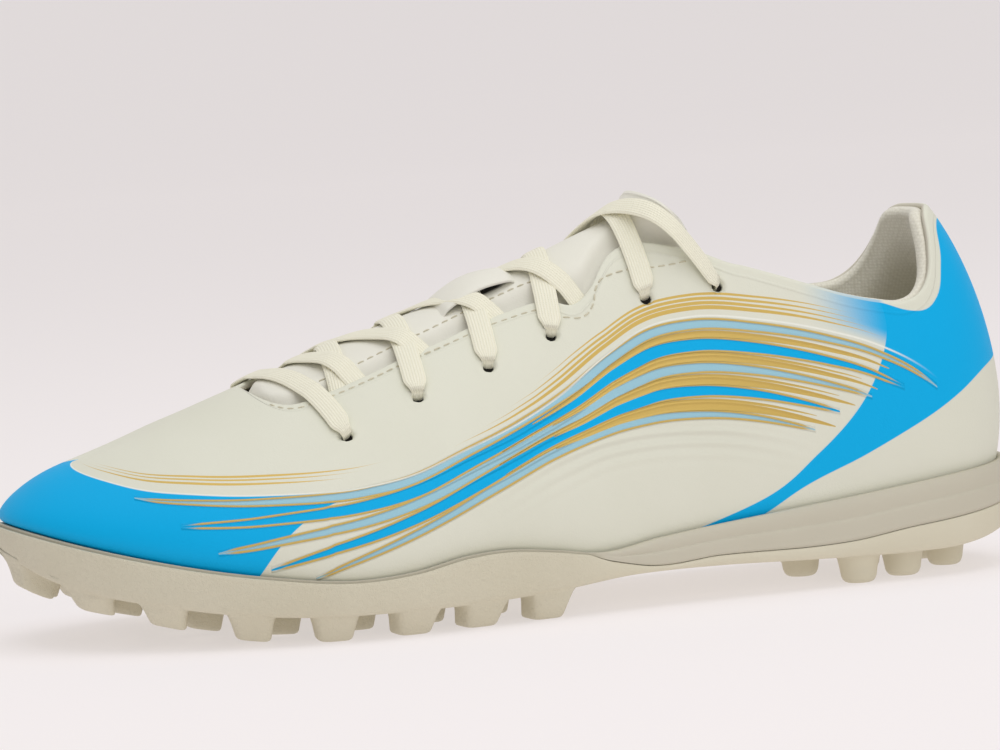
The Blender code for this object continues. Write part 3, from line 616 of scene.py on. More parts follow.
def section(station, side):
    """Foot and ridge point of the upper's section at a station, and its fullness."""
    foot = inset(station, side, FOOT_INSET, sole_top(station, side))
    heel = HEEL_LEAN * np.clip(1 - station / COLLAR_END, 0, 1) ** 2
    toe = TOE_LEAN * np.clip((station - 1 + TOE_ROUND) / TOE_ROUND, 0, 1) ** 2
    at = station + heel - toe
    middle = smooth(RIDGE, at, 2) * BALL_WIDTH - plan_middle
    ridge = np.stack([along(at), middle, smooth(RIDGE, at) * INSTEP_HEIGHT], -1)
    share = 0.5 + 0.5 * side * ease(0, 0.10, np.minimum(station, 1 - station))
    return foot, ridge, smooth(RIDGE, at, 3) * (1 - share) + smooth(RIDGE, at, 4) * share


def skin(station, side, turn):
    """Points on the upper's outer face: turn is 0 at the sole's top edge and 1 on the ridge."""
    foot, ridge, fullness = section(station, side)
    angle = np.clip(turn, 0, 1) * math.pi / 2
    inwards = 1 - np.clip(np.cos(angle), 0, 1) ** (2 / fullness)
    upwards = np.sin(angle) ** (2 / fullness)
    point = foot + (ridge - foot) * np.stack([inwards, inwards, upwards], -1)
    swell = turn / BULGE_PEAK * np.exp(1 - turn / BULGE_PEAK) * (1 - turn * turn)
    point[..., :2] += outward(station, side) * (UPPER_BULGE * swell)[..., None]
    return point


def turn_at_distance(station, side, distance):
    foot, ridge, fullness = section(station, side)
    reach = np.linalg.norm((ridge - foot)[..., :2], axis=-1)
    return 1 - np.arcsin(np.minimum(1, distance / reach) ** (fullness / 2)) / (math.pi / 2)


def turn_at_height(station, side, height):
    foot, ridge, fullness = section(station, side)
    share = np.clip((height - foot[..., 2]) / (ridge[..., 2] - foot[..., 2]), 0, 1)
    return np.arcsin(share ** (fullness / 2)) / (math.pi / 2)


def throat_half(station, side):
    front = np.clip((THROAT_FRONT - station) / THROAT_ROUND, 0, 1)
    return by_side(THROAT, station, side) * BALL_WIDTH * (1 - (1 - front) ** 2.4) ** (1 / 2.2)


def edge_turn(station, side):
    """Where the upper ends: at the collar, at the throat, or on the ridge ahead of it."""
    rise = by_side(COLLAR, station, side) * (HEEL_TAB_HEIGHT - COLLAR_DIP_HEIGHT)
    at_collar = turn_at_height(station, side, COLLAR_DIP_HEIGHT + rise)
    at_throat = turn_at_distance(station, side, throat_half(station, side))
    past_collar = ease(COLLAR_END - 0.030, COLLAR_END + 0.015, station)
    open_edge = at_collar + (at_throat - at_collar) * past_collar
    return np.where(station < THROAT_FRONT, open_edge, 1.0)


def instep(station, across):
    """Points of the instep's surface at a signed distance across from the ridge."""
    side = np.where(across < 0, OUTER, INNER)
    return skin(station, side, turn_at_distance(station, side, np.abs(across)))


def over_instep(station, across, lift):
    """Points at a height over the instep's surface, and the surface's direction there."""
    step = 1e-3
    length = instep(station - step, across) - instep(station + step, across)
    width = instep(station, across + step) - instep(station, across - step)
    normal = np.cross(length, width)
    normal /= np.linalg.norm(normal, axis=-1, keepdims=True)
    return instep(station, across) + normal * lift[..., None], normal


def girth_of(grid, height):
    """Length along each section from the sole's edge to a height, past its ends in a straight line."""
    steps = np.linalg.norm(np.diff(grid, axis=0), axis=-1)
    run = np.concatenate([np.zeros((1, grid.shape[1])), np.cumsum(steps, axis=0)])
    found = np.empty(grid.shape[1])
    for i in range(grid.shape[1]):
        z = np.maximum.accumulate(grid[:, i, 2]) + np.arange(len(grid)) * 1e-9
        over = max(0.0, height[i] - z[-1]) * 1.4 - max(0.0, z[0] - height[i])
        found[i] = np.interp(height[i], z, run[:, i]) + over
    return run, found


def distance_above(grid, station, rows):
    """Distance square to a line of the design that a table gives as heights, up the section."""
    run, line = girth_of(grid, smooth(rows, station) * INSTEP_HEIGHT)
    slope = np.gradient(line[:len(line) // 2], station[:len(line) // 2])
    slope = np.concatenate([slope, slope[::-1], slope[:1]])[:len(line)] / LENGTH
    return (run - line) / np.sqrt(1 + np.clip(slope, -3, 3) ** 2)


# Lines of the design: station, height as a share of the instep height
CAP_LINE = ((0.00, 0.300), (0.08, 0.500), (0.12, 0.600), (0.16, 0.665), (0.21, 0.715), (0.28, 0.762),
            (0.345, 0.781), (0.39, 0.760), (0.43, 0.700), (0.48, 0.608), (0.53, 0.540), (0.59, 0.480),
            (0.64, 0.433), (0.69, 0.410), (0.78, 0.405), (0.84, 0.414), (0.89, 0.430), (0.935, 0.459),
            (1.00, 0.500))
LOW_LINE = ((0.00, 0.050), (0.08, 0.180), (0.15, 0.300), (0.20, 0.370), (0.26, 0.432), (0.31, 0.468),
            (0.36, 0.484), (0.43, 0.480), (0.50, 0.435), (0.56, 0.365), (0.617, 0.295), (0.669, 0.235),
            (0.72, 0.180), (0.80, 0.080), (0.90, -0.050), (1.00, -0.150))
HEEL_LOW_LINE = ((0.00, 0.600), (0.035, 0.572), (0.08, 0.507), (0.105, 0.470), (0.183, 0.364), (0.257, 0.277),
                 (0.289, 0.225), (0.36, 0.130), (1.00, -0.500))
# Front of the heel's colour: height as a share of the instep height, station
HEEL_FRONT_LINE = ((0.15, 0.420), (0.20, 0.360), (0.263, 0.295), (0.378, 0.233), (0.488, 0.190),
                   (0.605, 0.161), (0.71, 0.147), (0.80, 0.147), (1.00, 0.120))

ROWS = 108
throat_steps = THROAT_FRONT - THROAT_ROUND * np.linspace(0, 1, 26) ** 2.2
station, side = outline(44, 210, 84, [*throat_steps, COLLAR_END])
count = len(station)
edge = edge_turn(station, side)
share = np.linspace(0, 1, ROWS + 1)[:, None]
wide_station = np.broadcast_to(station, (ROWS + 1, count)).copy()
wide_side = np.broadcast_to(side, (ROWS + 1, count)).copy()
grid = skin(wide_station, wide_side, edge * share)
ring_run = np.gradient(grid, axis=1)
rise_run = np.gradient(grid, axis=0)
normal = np.cross(ring_run, rise_run)
normal /= np.linalg.norm(normal, axis=-1, keepdims=True)
normal *= np.sign((normal[:, :, :2] * outward(wide_station, wide_side)).sum(-1) + 1e-9)[..., None]
closed = station >= THROAT_FRONT
partner = (count - np.arange(count)) % count
normal[-1, closed] = (normal[-1] + normal[-1][partner])[closed]
normal /= np.linalg.norm(normal, axis=-1, keepdims=True)

run, _ = girth_of(grid, np.zeros(count))
above_cap = distance_above(grid, station, CAP_LINE)
above_low = distance_above(grid, station, LOW_LINE)
above_heel_low = distance_above(grid, station, HEEL_LOW_LINE)
heel_share = grid[..., 2] / INSTEP_HEIGHT
front_slope = (smooth(HEEL_FRONT_LINE, heel_share + 0.01) - smooth(HEEL_FRONT_LINE, heel_share)) / 0.01
behind_front = (smooth(HEEL_FRONT_LINE, heel_share) - wide_station) * LENGTH
behind_front /= np.sqrt(1 + (front_slope * LENGTH / INSTEP_HEIGHT) ** 2)
to_edge = np.where(closed, 1.0, run[-1] - run)
edge_run = np.abs(np.gradient(grid[-1], axis=0))
edge_slope = np.gradient(grid[-1, :, 2]) / (edge_run[:, 0] + edge_run[:, 1] + 1e-9)
border = COLLAR_BORDER * (1 - ease(0.085, 0.150, wide_station))
collar_band = to_edge / np.sqrt(1 + np.clip(edge_slope, -4, 4) ** 2) - border

# Soft creases and hollows that the last and wear leave: station, height share, length, width, depth, lean
CREASES = (
    (0.640, 0.50, 0.030, 0.0050, -0.00035, 0.5),
    (0.600, 0.47, 0.034, 0.0060, 0.00025, 0.5),
    (0.690, 0.46, 0.026, 0.0045, -0.00025, 0.6),
    (0.255, 0.60, 0.040, 0.0120, -0.00070, -0.3),
    (0.420, 0.36, 0.050, 0.0110, -0.00045, 0.1),
    (0.100, 0.45, 0.030, 0.0120, 0.00040, 0.0),
    (0.860, 0.52, 0.030, 0.0090, 0.00025, -0.2),
)
relief = np.zeros_like(run)
for at, up, reach, width, depth, lean in CREASES:
    dx = along(wide_station) - along(at)
    dz = grid[..., 2] - up * INSTEP_HEIGHT
    length = dx * math.sin(lean) + dz * math.cos(lean)
    across = dx * math.cos(lean) - dz * math.sin(lean)
    relief += depth * np.exp(-((length / reach) ** 2) - (across / width) ** 2)
grid += normal * (relief * ease(0, 0.006, run))[..., None]

# The eyelets are unlined holes: a pit in the skin with a faintly raised pucker round it.
# The shade inside each pit is painted near black on the upper's colour.
EYELET_RADIUS, EYELET_DEPTH, PUCKER_HEIGHT, PUCKER_WIDTH = 0.0018, 0.0017, 0.00012, 0.0009
to_eyelet = np.full(run.shape, 1.0)
for outer_station, outer_share, inner_station, inner_share in EYELETS:
    for at, across in ((outer_station, -outer_share), (inner_station, inner_share)):
        spot, _ = over_instep(np.array([at]), np.array([across * BALL_WIDTH]), np.array([0.0]))
        to_eyelet = np.minimum(to_eyelet, np.linalg.norm(grid - spot[0], axis=-1))
pit = 1 - ease(EYELET_RADIUS * 0.75, EYELET_RADIUS * 1.12, to_eyelet)
pucker = np.exp(-((to_eyelet - EYELET_RADIUS * 1.6) / PUCKER_WIDTH) ** 2)
grid += normal * (PUCKER_HEIGHT * pucker - EYELET_DEPTH * pit)[..., None]

# The shell's rim and inner face
tangent = grid[-1] - grid[-2]
tangent /= np.linalg.norm(tangent, axis=-1, keepdims=True)
tangent[closed] = 0
half_wall = UPPER_WALL / 2
rim = []
for degrees in (35, 65, 90, 115, 145):
    bend = math.radians(degrees)
    out = tangent * half_wall * math.sin(bend)
    rim.append(grid[-1] + out - normal[-1] * half_wall * (1 - math.cos(bend)))
inner_rows = [ROWS - round(ROWS * i / 14) for i in range(15)]
inner = [grid[j] - normal[j] * UPPER_WALL for j in inner_rows]
tuck = 0.004
bottom = [grid[0] - [0, 0, tuck], grid[0] - [0, 0, tuck / 2]]
rings = [*bottom, *grid, *rim, *inner, inner[-1] - [0, 0, tuck]]
total = len(rings)
quads = np.array(ring_quads(total, count)).reshape(total - 1, count, 4)
open_pair = ~(closed & np.roll(closed, -1))
rim_start = len(bottom) + ROWS
keep = np.ones((total - 1, count), bool)
keep[rim_start:rim_start + len(rim) + 1] = open_pair
faces = quads[keep].tolist()
last_ring = (total - 1) * count
faces += [[i, (i + 1) % count, last_ring + (i + 1) % count, last_ring + i] for i in range(count)]


def on_rings(values):
    """Spreads values of the outer face over all rings. Rings past the edge take the edge's values."""
    past = [values[-1]] * (len(rim) + len(inner) + 1)
    return np.concatenate([[values[0]] * len(bottom), values, past]).ravel()


# The station, and distances to the lines of the design in millimetres
attributes = {
    "station": on_rings(wide_station),
    "above_cap": on_rings(above_cap * 1000),
    "above_low": on_rings(above_low * 1000),
    "above_heel_low": on_rings(above_heel_low * 1000),
    "behind_front": on_rings(behind_front * 1000),
    "to_edge": on_rings(to_edge * 1000),
    "to_eyelet": on_rings(to_eyelet * 1000),
    "collar_band": on_rings(collar_band * 1000),
}
inside_shell = np.zeros((total, count))
inside_shell[rim_start + 3:] = 1
attributes["inside_shell"] = inside_shell.ravel()

coated, tree, shader = new_material("coated_synthetic")
# Thin polyurethane-coated microfibre: a smooth satin skin with a very fine pebble, printed and embossed.
CYAN, PALE, GOLD, HIGHLIGHT_WHITE = "#00B1EC", "#9FCBDA", "#D4B565", "#F0F1E6"
# Softness of the printed edges, heights of the relief and the seam's distance from the edge, in millimetres
SOFT_EDGE, BROAD_EDGE = 0.10, 0.16
PEBBLE, RIPPLE, RIPPLE_PITCH = 0.055, 0.20, 3.4
GROOVE, PILLOW, SEAM, SEAM_FROM_EDGE = -0.42, 0.34, -0.16, 2.6
value = {key: node(tree, "ShaderNodeAttribute", out=2, attribute_name=key) for key in attributes}
at = value["station"]
spread = maths(tree, "SUBTRACT", value["above_low"], value["above_cap"])
level = maths(tree, "DIVIDE", value["above_cap"], spread)
level = maths(tree, "MULTIPLY", level, -1.0)


def smooth_step(tree, value, low, high):
    """0 at the low value and 1 at the high one, with a smooth rise between them."""
    limits = {"Value": value, "From Min": low, "From Max": high}
    return node(tree, "ShaderNodeMapRange", limits, interpolation_type="SMOOTHSTEP")


def blade_group():
    """Signed distance inside a blade: a strip along the bundle that tapers to a point at both its ends."""
    group = bpy.data.node_groups.new("tapered_blade", "ShaderNodeTree")
    for name in ("at", "level", "spread", "centre", "half", "front", "rear"):
        group.interface.new_socket(name, in_out="INPUT", socket_type="NodeSocketFloat")
    for name in ("inside", "tip"):
        group.interface.new_socket(name, in_out="OUTPUT", socket_type="NodeSocketFloat")
    given = group.nodes.new("NodeGroupInput").outputs
    run = {"Value": given["at"], "From Min": given["rear"], "From Max": given["front"]}
    share = node(group, "ShaderNodeMapRange", run)
    angle = maths(group, "MULTIPLY", share, math.pi)
    arch = maths(group, "SINE", angle)
    taper = maths(group, "POWER", arch, 0.55)
    half = maths(group, "MULTIPLY", taper, given["half"])
    past_tip = maths(group, "LESS_THAN", arch, 0.015)
    half = maths(group, "MULTIPLY_ADD", past_tip, -5.0, half)
    off = maths(group, "SUBTRACT", given["level"], given["centre"])
    off = maths(group, "MULTIPLY", off, given["spread"])
    off = maths(group, "ABSOLUTE", off)
    inside = maths(group, "SUBTRACT", half, off)
    given_out = group.nodes.new("NodeGroupOutput").inputs
    group.links.new(inside, given_out["inside"])
    group.links.new(smooth_step(group, arch, 0.012, 0.10), given_out["tip"])
    return group


blade = blade_group()


def blade_inside(centre, half, front, rear):
    """The blade's signed distance in millimetres, and a share that falls to 0 at its two tips."""
    inputs = {"at": at, "level": level, "spread": spread}
    inputs.update(centre=centre, half=half, front=front, rear=rear)
    inside = node(tree, "ShaderNodeGroup", inputs, node_tree=blade)
    return inside, inside.node.outputs["tip"]


def crisp(distance, soft=SOFT_EDGE):
    """1 where a distance in millimetres is above 0, with a narrow soft edge."""
    return smooth_step(tree, distance, -soft, soft)


def both(first, second):
    return maths(tree, "MULTIPLY", first, second)


def paint(under, mask, colour):
    return blend(tree, mask, under, colour)


def near(distance, half):
    """Positive within a half width of a line, in millimetres."""
    size = maths(tree, "ABSOLUTE", distance)
    return maths(tree, "SUBTRACT", half, size)


place = node(tree, "ShaderNodeTexCoord", out=3)
patches = noise(tree, place, 24.0, 3.0)
colour = blend(tree, patches, "#DEDECC", "#E6E6D7")

# The toe's colour runs back under the cap line in a wedge. The heel's colour has a soft edge by the collar.
wedge = maths(tree, "MAXIMUM", level, 0.0)
wedge = maths(tree, "POWER", wedge, 0.5)
wedge = maths(tree, "MULTIPLY_ADD", wedge, -0.17, at)
wedge = maths(tree, "SUBTRACT", wedge, 0.655)
wedge = maths(tree, "MULTIPLY", wedge, 1000 * LENGTH)
below_cap = crisp(maths(tree, "MULTIPLY", value["above_cap"], -1.0))
toe_mask = both(crisp(wedge, BROAD_EDGE), below_cap)
fade = smooth_step(tree, value["behind_front"], -26.0, 2.0)
fade = both(fade, smooth_step(tree, value["above_cap"], -1.0, 5.0))
heel_mask = maths(tree, "MAXIMUM", crisp(value["behind_front"], BROAD_EDGE), fade)
heel_mask = both(heel_mask, crisp(value["above_heel_low"], BROAD_EDGE))
heel_mask = both(heel_mask, crisp(value["collar_band"], BROAD_EDGE))
colour = paint(colour, toe_mask, CYAN)
colour = paint(colour, heel_mask, CYAN)

# Ribbons of the bundle, from its top edge down: level, half width in mm, front and rear end, colour
RIBBONS = (
    (0.075, 1.60, 0.905, 0.100, PALE),
    (0.265, 2.20, 0.865, 0.135, CYAN),
    (0.470, 1.70, 0.835, 0.170, PALE),
    (0.680, 2.00, 0.790, 0.205, CYAN),
    (0.890, 1.35, 0.750, 0.232, PALE),
)
# Slim gold blades between the ribbons: level, half width in mm, front and rear end
GOLD_BLADES = (
    (0.168, 0.95, 0.520, 0.150),
    (0.350, 0.50, 0.555, 0.180),
    (0.388, 0.90, 0.500, 0.165),
    (0.548, 0.50, 0.560, 0.205),
    (0.592, 1.05, 0.500, 0.190),
    (0.768, 0.55, 0.555, 0.230),
    (0.816, 1.20, 0.500, 0.212),
)
grooves = raised = gold = None
for centre, half, front, rear, tone in RIBBONS:
    inside, tip = blade_inside(centre, half, front, rear)
    colour = paint(colour, crisp(inside), tone)
    rim_half = maths(tree, "MULTIPLY", tip, 0.30)
    rim_line = both(crisp(near(inside, rim_half), 0.12), tip)
    colour = paint(colour, rim_line, GOLD)
    groove = smooth_step(tree, near(inside, 0.0), -0.75, 0.0)
    grooves = groove if grooves is None else maths(tree, "MAXIMUM", grooves, groove)
for centre, half, front, rear in GOLD_BLADES:
    inside, _ = blade_inside(centre, half, front, rear)
    mask = crisp(inside)
    gold = mask if gold is None else maths(tree, "MAXIMUM", gold, mask)
    pillow = smooth_step(tree, inside, -0.15, 0.85)
    raised = pillow if raised is None else maths(tree, "MAXIMUM", raised, pillow)

# Fine gold lines: distance above the cap line in mm, half width in mm, front and rear end. Foil can't be
# stamped finer than a limit, so each line stops where it would get too thin.
FOIL_LIMIT = 0.14
for offset, half, front, rear in (
    (3.8, 0.42, 0.990, 0.690), (5.2, 0.30, 0.980, 0.670), (6.4, 0.38, 0.970, 0.650),
    (2.4, 0.62, 0.620, 0.130), (3.7, 0.50, 0.590, 0.140), (5.0, 0.46, 0.560, 0.150),
    (6.3, 0.38, 0.530, 0.160),
):
    angle = node(tree, "ShaderNodeMapRange", {"Value": at, "From Min": rear, "From Max": front})
    angle = maths(tree, "MULTIPLY", angle, math.pi)
    arch = maths(tree, "SINE", angle)
    width = maths(tree, "MULTIPLY_ADD", arch, half + FOIL_LIMIT, -FOIL_LIMIT)
    inside = near(maths(tree, "SUBTRACT", value["above_cap"], offset), width)
    gold = maths(tree, "MAXIMUM", gold, crisp(inside, 0.09))
colour = paint(colour, gold, GOLD)
# Painted highlight: a thin near-white line along the cap line, standing in for light caught on the cap's edge
cap_edge_highlight = both(crisp(near(value["above_cap"], 0.24), 0.20), smooth_step(tree, at, 0.10, 0.16))
colour = paint(colour, cap_edge_highlight, HIGHLIGHT_WHITE)
# Painted shade: each eyelet's pit is coloured near black, standing in for the shadow inside the hole
past_eyelet_shade = smooth_step(tree, value["to_eyelet"], 1.25, 1.75)
colour = blend(tree, past_eyelet_shade, "#1C1A17", colour)
colour = paint(colour, value["inside_shell"], "#CFCABA")

# Ripples pressed into the plain quarter under the bundle
wave = maths(tree, "SINE", maths(tree, "MULTIPLY", value["above_low"], 2 * math.pi / RIPPLE_PITCH))
band = smooth_step(tree, value["above_low"], -13.0, -1.0)
band = both(band, crisp(maths(tree, "MULTIPLY", value["above_low"], -1.0), 1.0))
band = both(band, smooth_step(tree, at, 0.22, 0.34))
band = both(band, smooth_step(tree, at, 0.60, 0.46))
ripple = both(wave, band)

# Height of the embossing in millimetres
pebble = noise(tree, place, 1900.0, 3.0, 0.6)
height = maths(tree, "MULTIPLY", pebble, PEBBLE)
height = maths(tree, "MULTIPLY_ADD", ripple, RIPPLE, height)
plain = maths(tree, "SUBTRACT", 1.0, gold)
height = maths(tree, "MULTIPLY_ADD", both(grooves, plain), GROOVE, height)
height = maths(tree, "MULTIPLY_ADD", raised, PILLOW, height)
seam = near(maths(tree, "SUBTRACT", value["to_edge"], SEAM_FROM_EDGE), 0.0)
height = maths(tree, "MULTIPLY_ADD", smooth_step(tree, seam, -0.7, 0.0), SEAM, height)
dress(tree, shader, colour, height, 0.001, 1.0)
sheen = maths(tree, "MULTIPLY", both(gold, past_eyelet_shade), 0.30)
tree.links.new(sheen, shader.inputs["Metallic"])
rough = {"Value": patches, "To Min": 0.50, "To Max": 0.60}
tree.links.new(node(tree, "ShaderNodeMapRange", rough), shader.inputs["Roughness"])
shader.inputs["Specular IOR Level"].default_value = 0.15
upper = new_piece("lasted_upper", np.concatenate(rings), faces, coated, attributes, merge=1e-7)
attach(upper, "root")
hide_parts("upper")

# Insole
# The sockliner on the midsole's bed: die-cut foam with a brushed textile cover. Its upper edge is rounded
# where it meets the inner face of the upper.
INSOLE_THICKNESS = 0.0040

brushed, tree, shader = new_material("brushed_textile")
# Warp-knitted cover with a short nap, in the shade of the shoe.
place = node(tree, "ShaderNodeTexCoord", out=3)
nap = noise(tree, place, 1500.0, 4.0, 0.7)
dress(tree, shader, blend(tree, nap, "#C2BCA6", "#D3CEBB"), nap, 0.00025, 0.5)
shader.inputs["Roughness"].default_value = 0.92
shader.inputs["Sheen Weight"].default_value = 0.25
shader.inputs["Sheen Roughness"].default_value = 0.5

station, side = outline(30, 110, 60)
level = bed(station) + GAP
depth = FOOT_INSET + UPPER_WALL + GAP
rows = [inset(station, side, depth + 0.0006, level), inset(station, side, depth, level + 0.0006)]
for degrees in (0, 25, 50, 70, 90):
    bend = math.radians(degrees)
    height = level + INSOLE_THICKNESS - 0.0012 * (1 - math.sin(bend))
    rows.append(inset(station, side, depth + 0.002 * (1 - math.cos(bend)), height))
faces = capped_stack(rows)
insole = new_piece("textile_sockliner", np.concatenate(rows), faces, brushed, merge=1e-7)
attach(insole, "root")
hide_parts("insole")

# Collar lining
# Soft knitted textile over foam, glued inside the heel and the collar. It is thin below and swells to a
# padded roll at the top, where its edge is turned over and closed along the upper's rim.
LINING_THICKNESS, COLLAR_PADDING, LINING_END, ROLL_HEIGHT = 0.0020, 0.0040, 0.29, 0.0021

# Padding of the collar: share of the way up to its edge, share of the full padding
PADDING = (
    (0.00, 0.00),
    (0.45, 0.00),
    (0.62, 0.48),
    (0.76, 0.97),
    (0.87, 0.95),
    (0.94, 0.72),
    (1.00, 0.50),
)


def inside(station, side, turn, depth):
    """Points below the upper's outer face, measured square to it."""
    step = 2e-3
    back, ahead = station - step, np.minimum(station + step, 1.0)
    before = skin(np.abs(back), np.where(back >= 0, side, -side), turn)
    run = skin(ahead, side, turn) - before
    rise = skin(station, side, turn + step) - skin(station, side, turn - step)
    normal = np.cross(run, rise) * side[..., None]
    normal /= np.linalg.norm(normal, axis=-1, keepdims=True)
    return skin(station, side, turn) - normal * depth[..., None], normal


lining_knit, tree, shader = new_material("knitted_lining")
# Fine spacer knit: rows of small loops, matt with a faint bloom.
LOOP_SIZE = 0.0009
place = node(tree, "ShaderNodeTexCoord", out=3)
loops = node(tree, "ShaderNodeTexVoronoi", {"Vector": place, "Scale": 1 / LOOP_SIZE, "Randomness": 0.35})
fuzz = noise(tree, place, 2400.0, 3.0)
height = maths(tree, "MULTIPLY_ADD", fuzz, 0.35, loops)
dress(tree, shader, blend(tree, loops, "#F0EDDF", "#DAD6C4"), height, 0.0003, 0.5)
shader.inputs["Roughness"].default_value = 0.9
shader.inputs["Sheen Weight"].default_value = 0.3
shader.inputs["Sheen Roughness"].default_value = 0.45

lined = np.concatenate([
    HEEL_ROUND * (1 - np.cos(np.linspace(0, math.pi / 2, 34, endpoint=False))),
    np.linspace(HEEL_ROUND, LINING_END, 40),
])
station = np.concatenate([lined[:0:-1], lined])
side = np.repeat([INNER, OUTER], [len(lined) - 1, len(lined)])
last = edge_turn(station, side)
under = UPPER_WALL + GAP
low = bed(station) + INSOLE_THICKNESS + 3 * GAP
outer, inner = [inset(station, side, FOOT_INSET + under, low)], []
inner.append(inset(station, side, FOOT_INSET + under + LINING_THICKNESS, low))
for share in np.linspace(0, 1, 34) ** 0.85:
    padding = COLLAR_PADDING * smooth(PADDING, share)
    outer.append(inside(station, side, last * share, under + 0 * station)[0])
    inner.append(inside(station, side, last * share, under + LINING_THICKNESS + padding + 0 * station)[0])
rim_middle = (outer[-1] + inner[-1]) / 2
rim_across = (inner[-1] - outer[-1]) / 2
upwards = outer[-1] - outer[-3]
upwards /= np.linalg.norm(upwards, axis=-1, keepdims=True)
roll = []
for degrees in range(15, 180, 15):
    bend = math.radians(degrees)
    roll.append(rim_middle - rim_across * math.cos(bend) + upwards * ROLL_HEIGHT * math.sin(bend))
rings = [*outer, *roll, *inner[::-1]]
count = len(rings)
vertices = np.stack(rings, 1).reshape(-1, 3)
faces = ring_quads(len(station), count)
faces += [tuple(range(count)), tuple((len(station) - 1) * count + i for i in range(count))]
collar = new_piece("padded_collar_lining", vertices, faces, lining_knit)
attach(collar, "root")
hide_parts("collar_lining")

# Tongue
# Microfibre over thin foam. Its sides and its front end slip under the upper, and its top stands free above
# the laces with a rolled edge. Painted shade, near black, marks the slot where the laces pass under the
# keeper.
TONGUE_THICKNESS, TONGUE_LEVEL, TONGUE_RISE = 0.0030, 0.0028, 0.0070
TONGUE_HALF_WIDTHS, TONGUE_SWEEP = (0.0200, 0.0225), 0.060
TONGUE_TUCK, TONGUE_SUNK, TONGUE_EDGE_RUN = 0.0018, 0.0033, 0.0055
TONGUE_FRONT, TONGUE_TOP, TONGUE_STANDS, TONGUE_STAND_RUN = 0.80, 0.362, (0.395, 0.345), 0.0030
END_ROUND, SIDE_ROUND, END_LIP = 0.0018, 0.0016, 0.0007
KEEPER_ENDS, KEEPER_SHIFT = (0.572, 0.494), -0.0006
KEEPER_HALF_WIDTH, KEEPER_THICKNESS = 0.0092, 0.0009
SLOT_BORDER, SLOT_START, SLOT_END = (0.0074, 0.0086), (0.502, 0.512), (0.540, 0.554)


def tongue_middle(station):
    at = np.minimum(station, 0.72)
    return (throat_half(at, INNER) - throat_half(at, OUTER)) / 2


def tongue_top(station, across):
    """Height of the tongue's upper face over the instep's surface, sunk under the upper at its sides."""
    side = np.where(across < 0, OUTER, INNER)
    edge = throat_half(station, side) - TONGUE_TUCK
    open_share = ease(0, TONGUE_EDGE_RUN, edge - np.abs(across))
    open_share = open_share * ease(0, TONGUE_EDGE_RUN, (THROAT_FRONT - station) * LENGTH)
    standing = ease(*TONGUE_STANDS, station) * ease(0, TONGUE_STAND_RUN, edge - np.abs(across))
    return -TONGUE_SUNK + TONGUE_LEVEL * open_share + TONGUE_RISE * standing


microfibre, tree, shader = new_material("soft_microfibre")
# The same skin as the upper but softer and thinner, with a fine pebble and slight clouding from handling.
place = node(tree, "ShaderNodeTexCoord", out=3)
pebble = noise(tree, place, 1500.0, 3.0)
patches = noise(tree, place, 45.0, 3.0)
slot_shade = node(tree, "ShaderNodeAttribute", out=2, attribute_name="slot_shade")
from_edge = node(tree, "ShaderNodeAttribute", out=2, attribute_name="from_edge")
roll_line = maths(tree, "ABSOLUTE", maths(tree, "SUBTRACT", from_edge, 2.4))
roll_line = smooth_step(tree, roll_line, 0.8, 0.0)
height = maths(tree, "MULTIPLY", pebble, 0.05)
height = maths(tree, "MULTIPLY_ADD", roll_line, -0.25, height)
# Painted shade: near black where the slot under the keeper lies
colour = blend(tree, slot_shade, blend(tree, patches, "#E6E4D6", "#EDEBDF"), "#171512")
dress(tree, shader, colour, height, 0.001, 0.9)
shader.inputs["Roughness"].default_value = 0.6
shader.inputs["Sheen Weight"].default_value = 0.1


def two_sheets(rows, columns, closed_rows):
    """Faces of an upper and a lower grid of points, joined along some of their rows."""
    width = columns + 1
    lower = (rows + 1) * width
    here = (np.arange(rows)[:, None] * width + np.arange(columns)[None, :]).ravel()
    sheet = np.stack([here, here + 1, here + width + 1, here + width], -1)
    faces = sheet.tolist() + (sheet + lower).tolist()
    for row in closed_rows:
        edge = range(row * width, row * width + columns)
        faces += [(i, i + 1, i + 1 + lower, i + lower) for i in edge]
    return faces


ROWS, COLUMNS = 120, 60
share = np.linspace(0, 1, ROWS + 1)[:, None]
place_across = np.sin(np.linspace(-1, 1, COLUMNS + 1) * math.pi / 2)[None, :]
middle = TONGUE_FRONT + (TONGUE_TOP - TONGUE_FRONT) * share
half = TONGUE_HALF_WIDTHS[0] + np.diff(TONGUE_HALF_WIDTHS) * ease(TONGUE_FRONT, 0.40, middle)
at = middle - TONGUE_SWEEP * place_across**2 * ease(0.60, TONGUE_TOP, middle)
across = tongue_middle(middle) + place_across * half
lift = tongue_top(at, across)
to_end = (1 - share) * (TONGUE_FRONT - TONGUE_TOP) * LENGTH + 0 * across
to_side = (1 - np.abs(place_across)) * half
rounding = np.sqrt(np.clip(1 - (1 - np.clip(to_end / END_ROUND, 0, 1)) ** 2, 0, 1))
rounding = rounding * np.sqrt(np.clip(1 - (1 - np.clip(to_side / SIDE_ROUND, 0, 1)) ** 2, 0, 1))
lip = END_LIP * np.exp(-((to_end - 0.0016) / 0.0016) ** 2)
thick = TONGUE_THICKNESS / 2 * rounding
upper_face, _ = over_instep(at, across, lift - TONGUE_THICKNESS / 2 + thick + lip * rounding)
lower_face, _ = over_instep(at, across, lift - TONGUE_THICKNESS / 2 - thick)
off_band = np.abs(across - tongue_middle(at) + KEEPER_SHIFT)
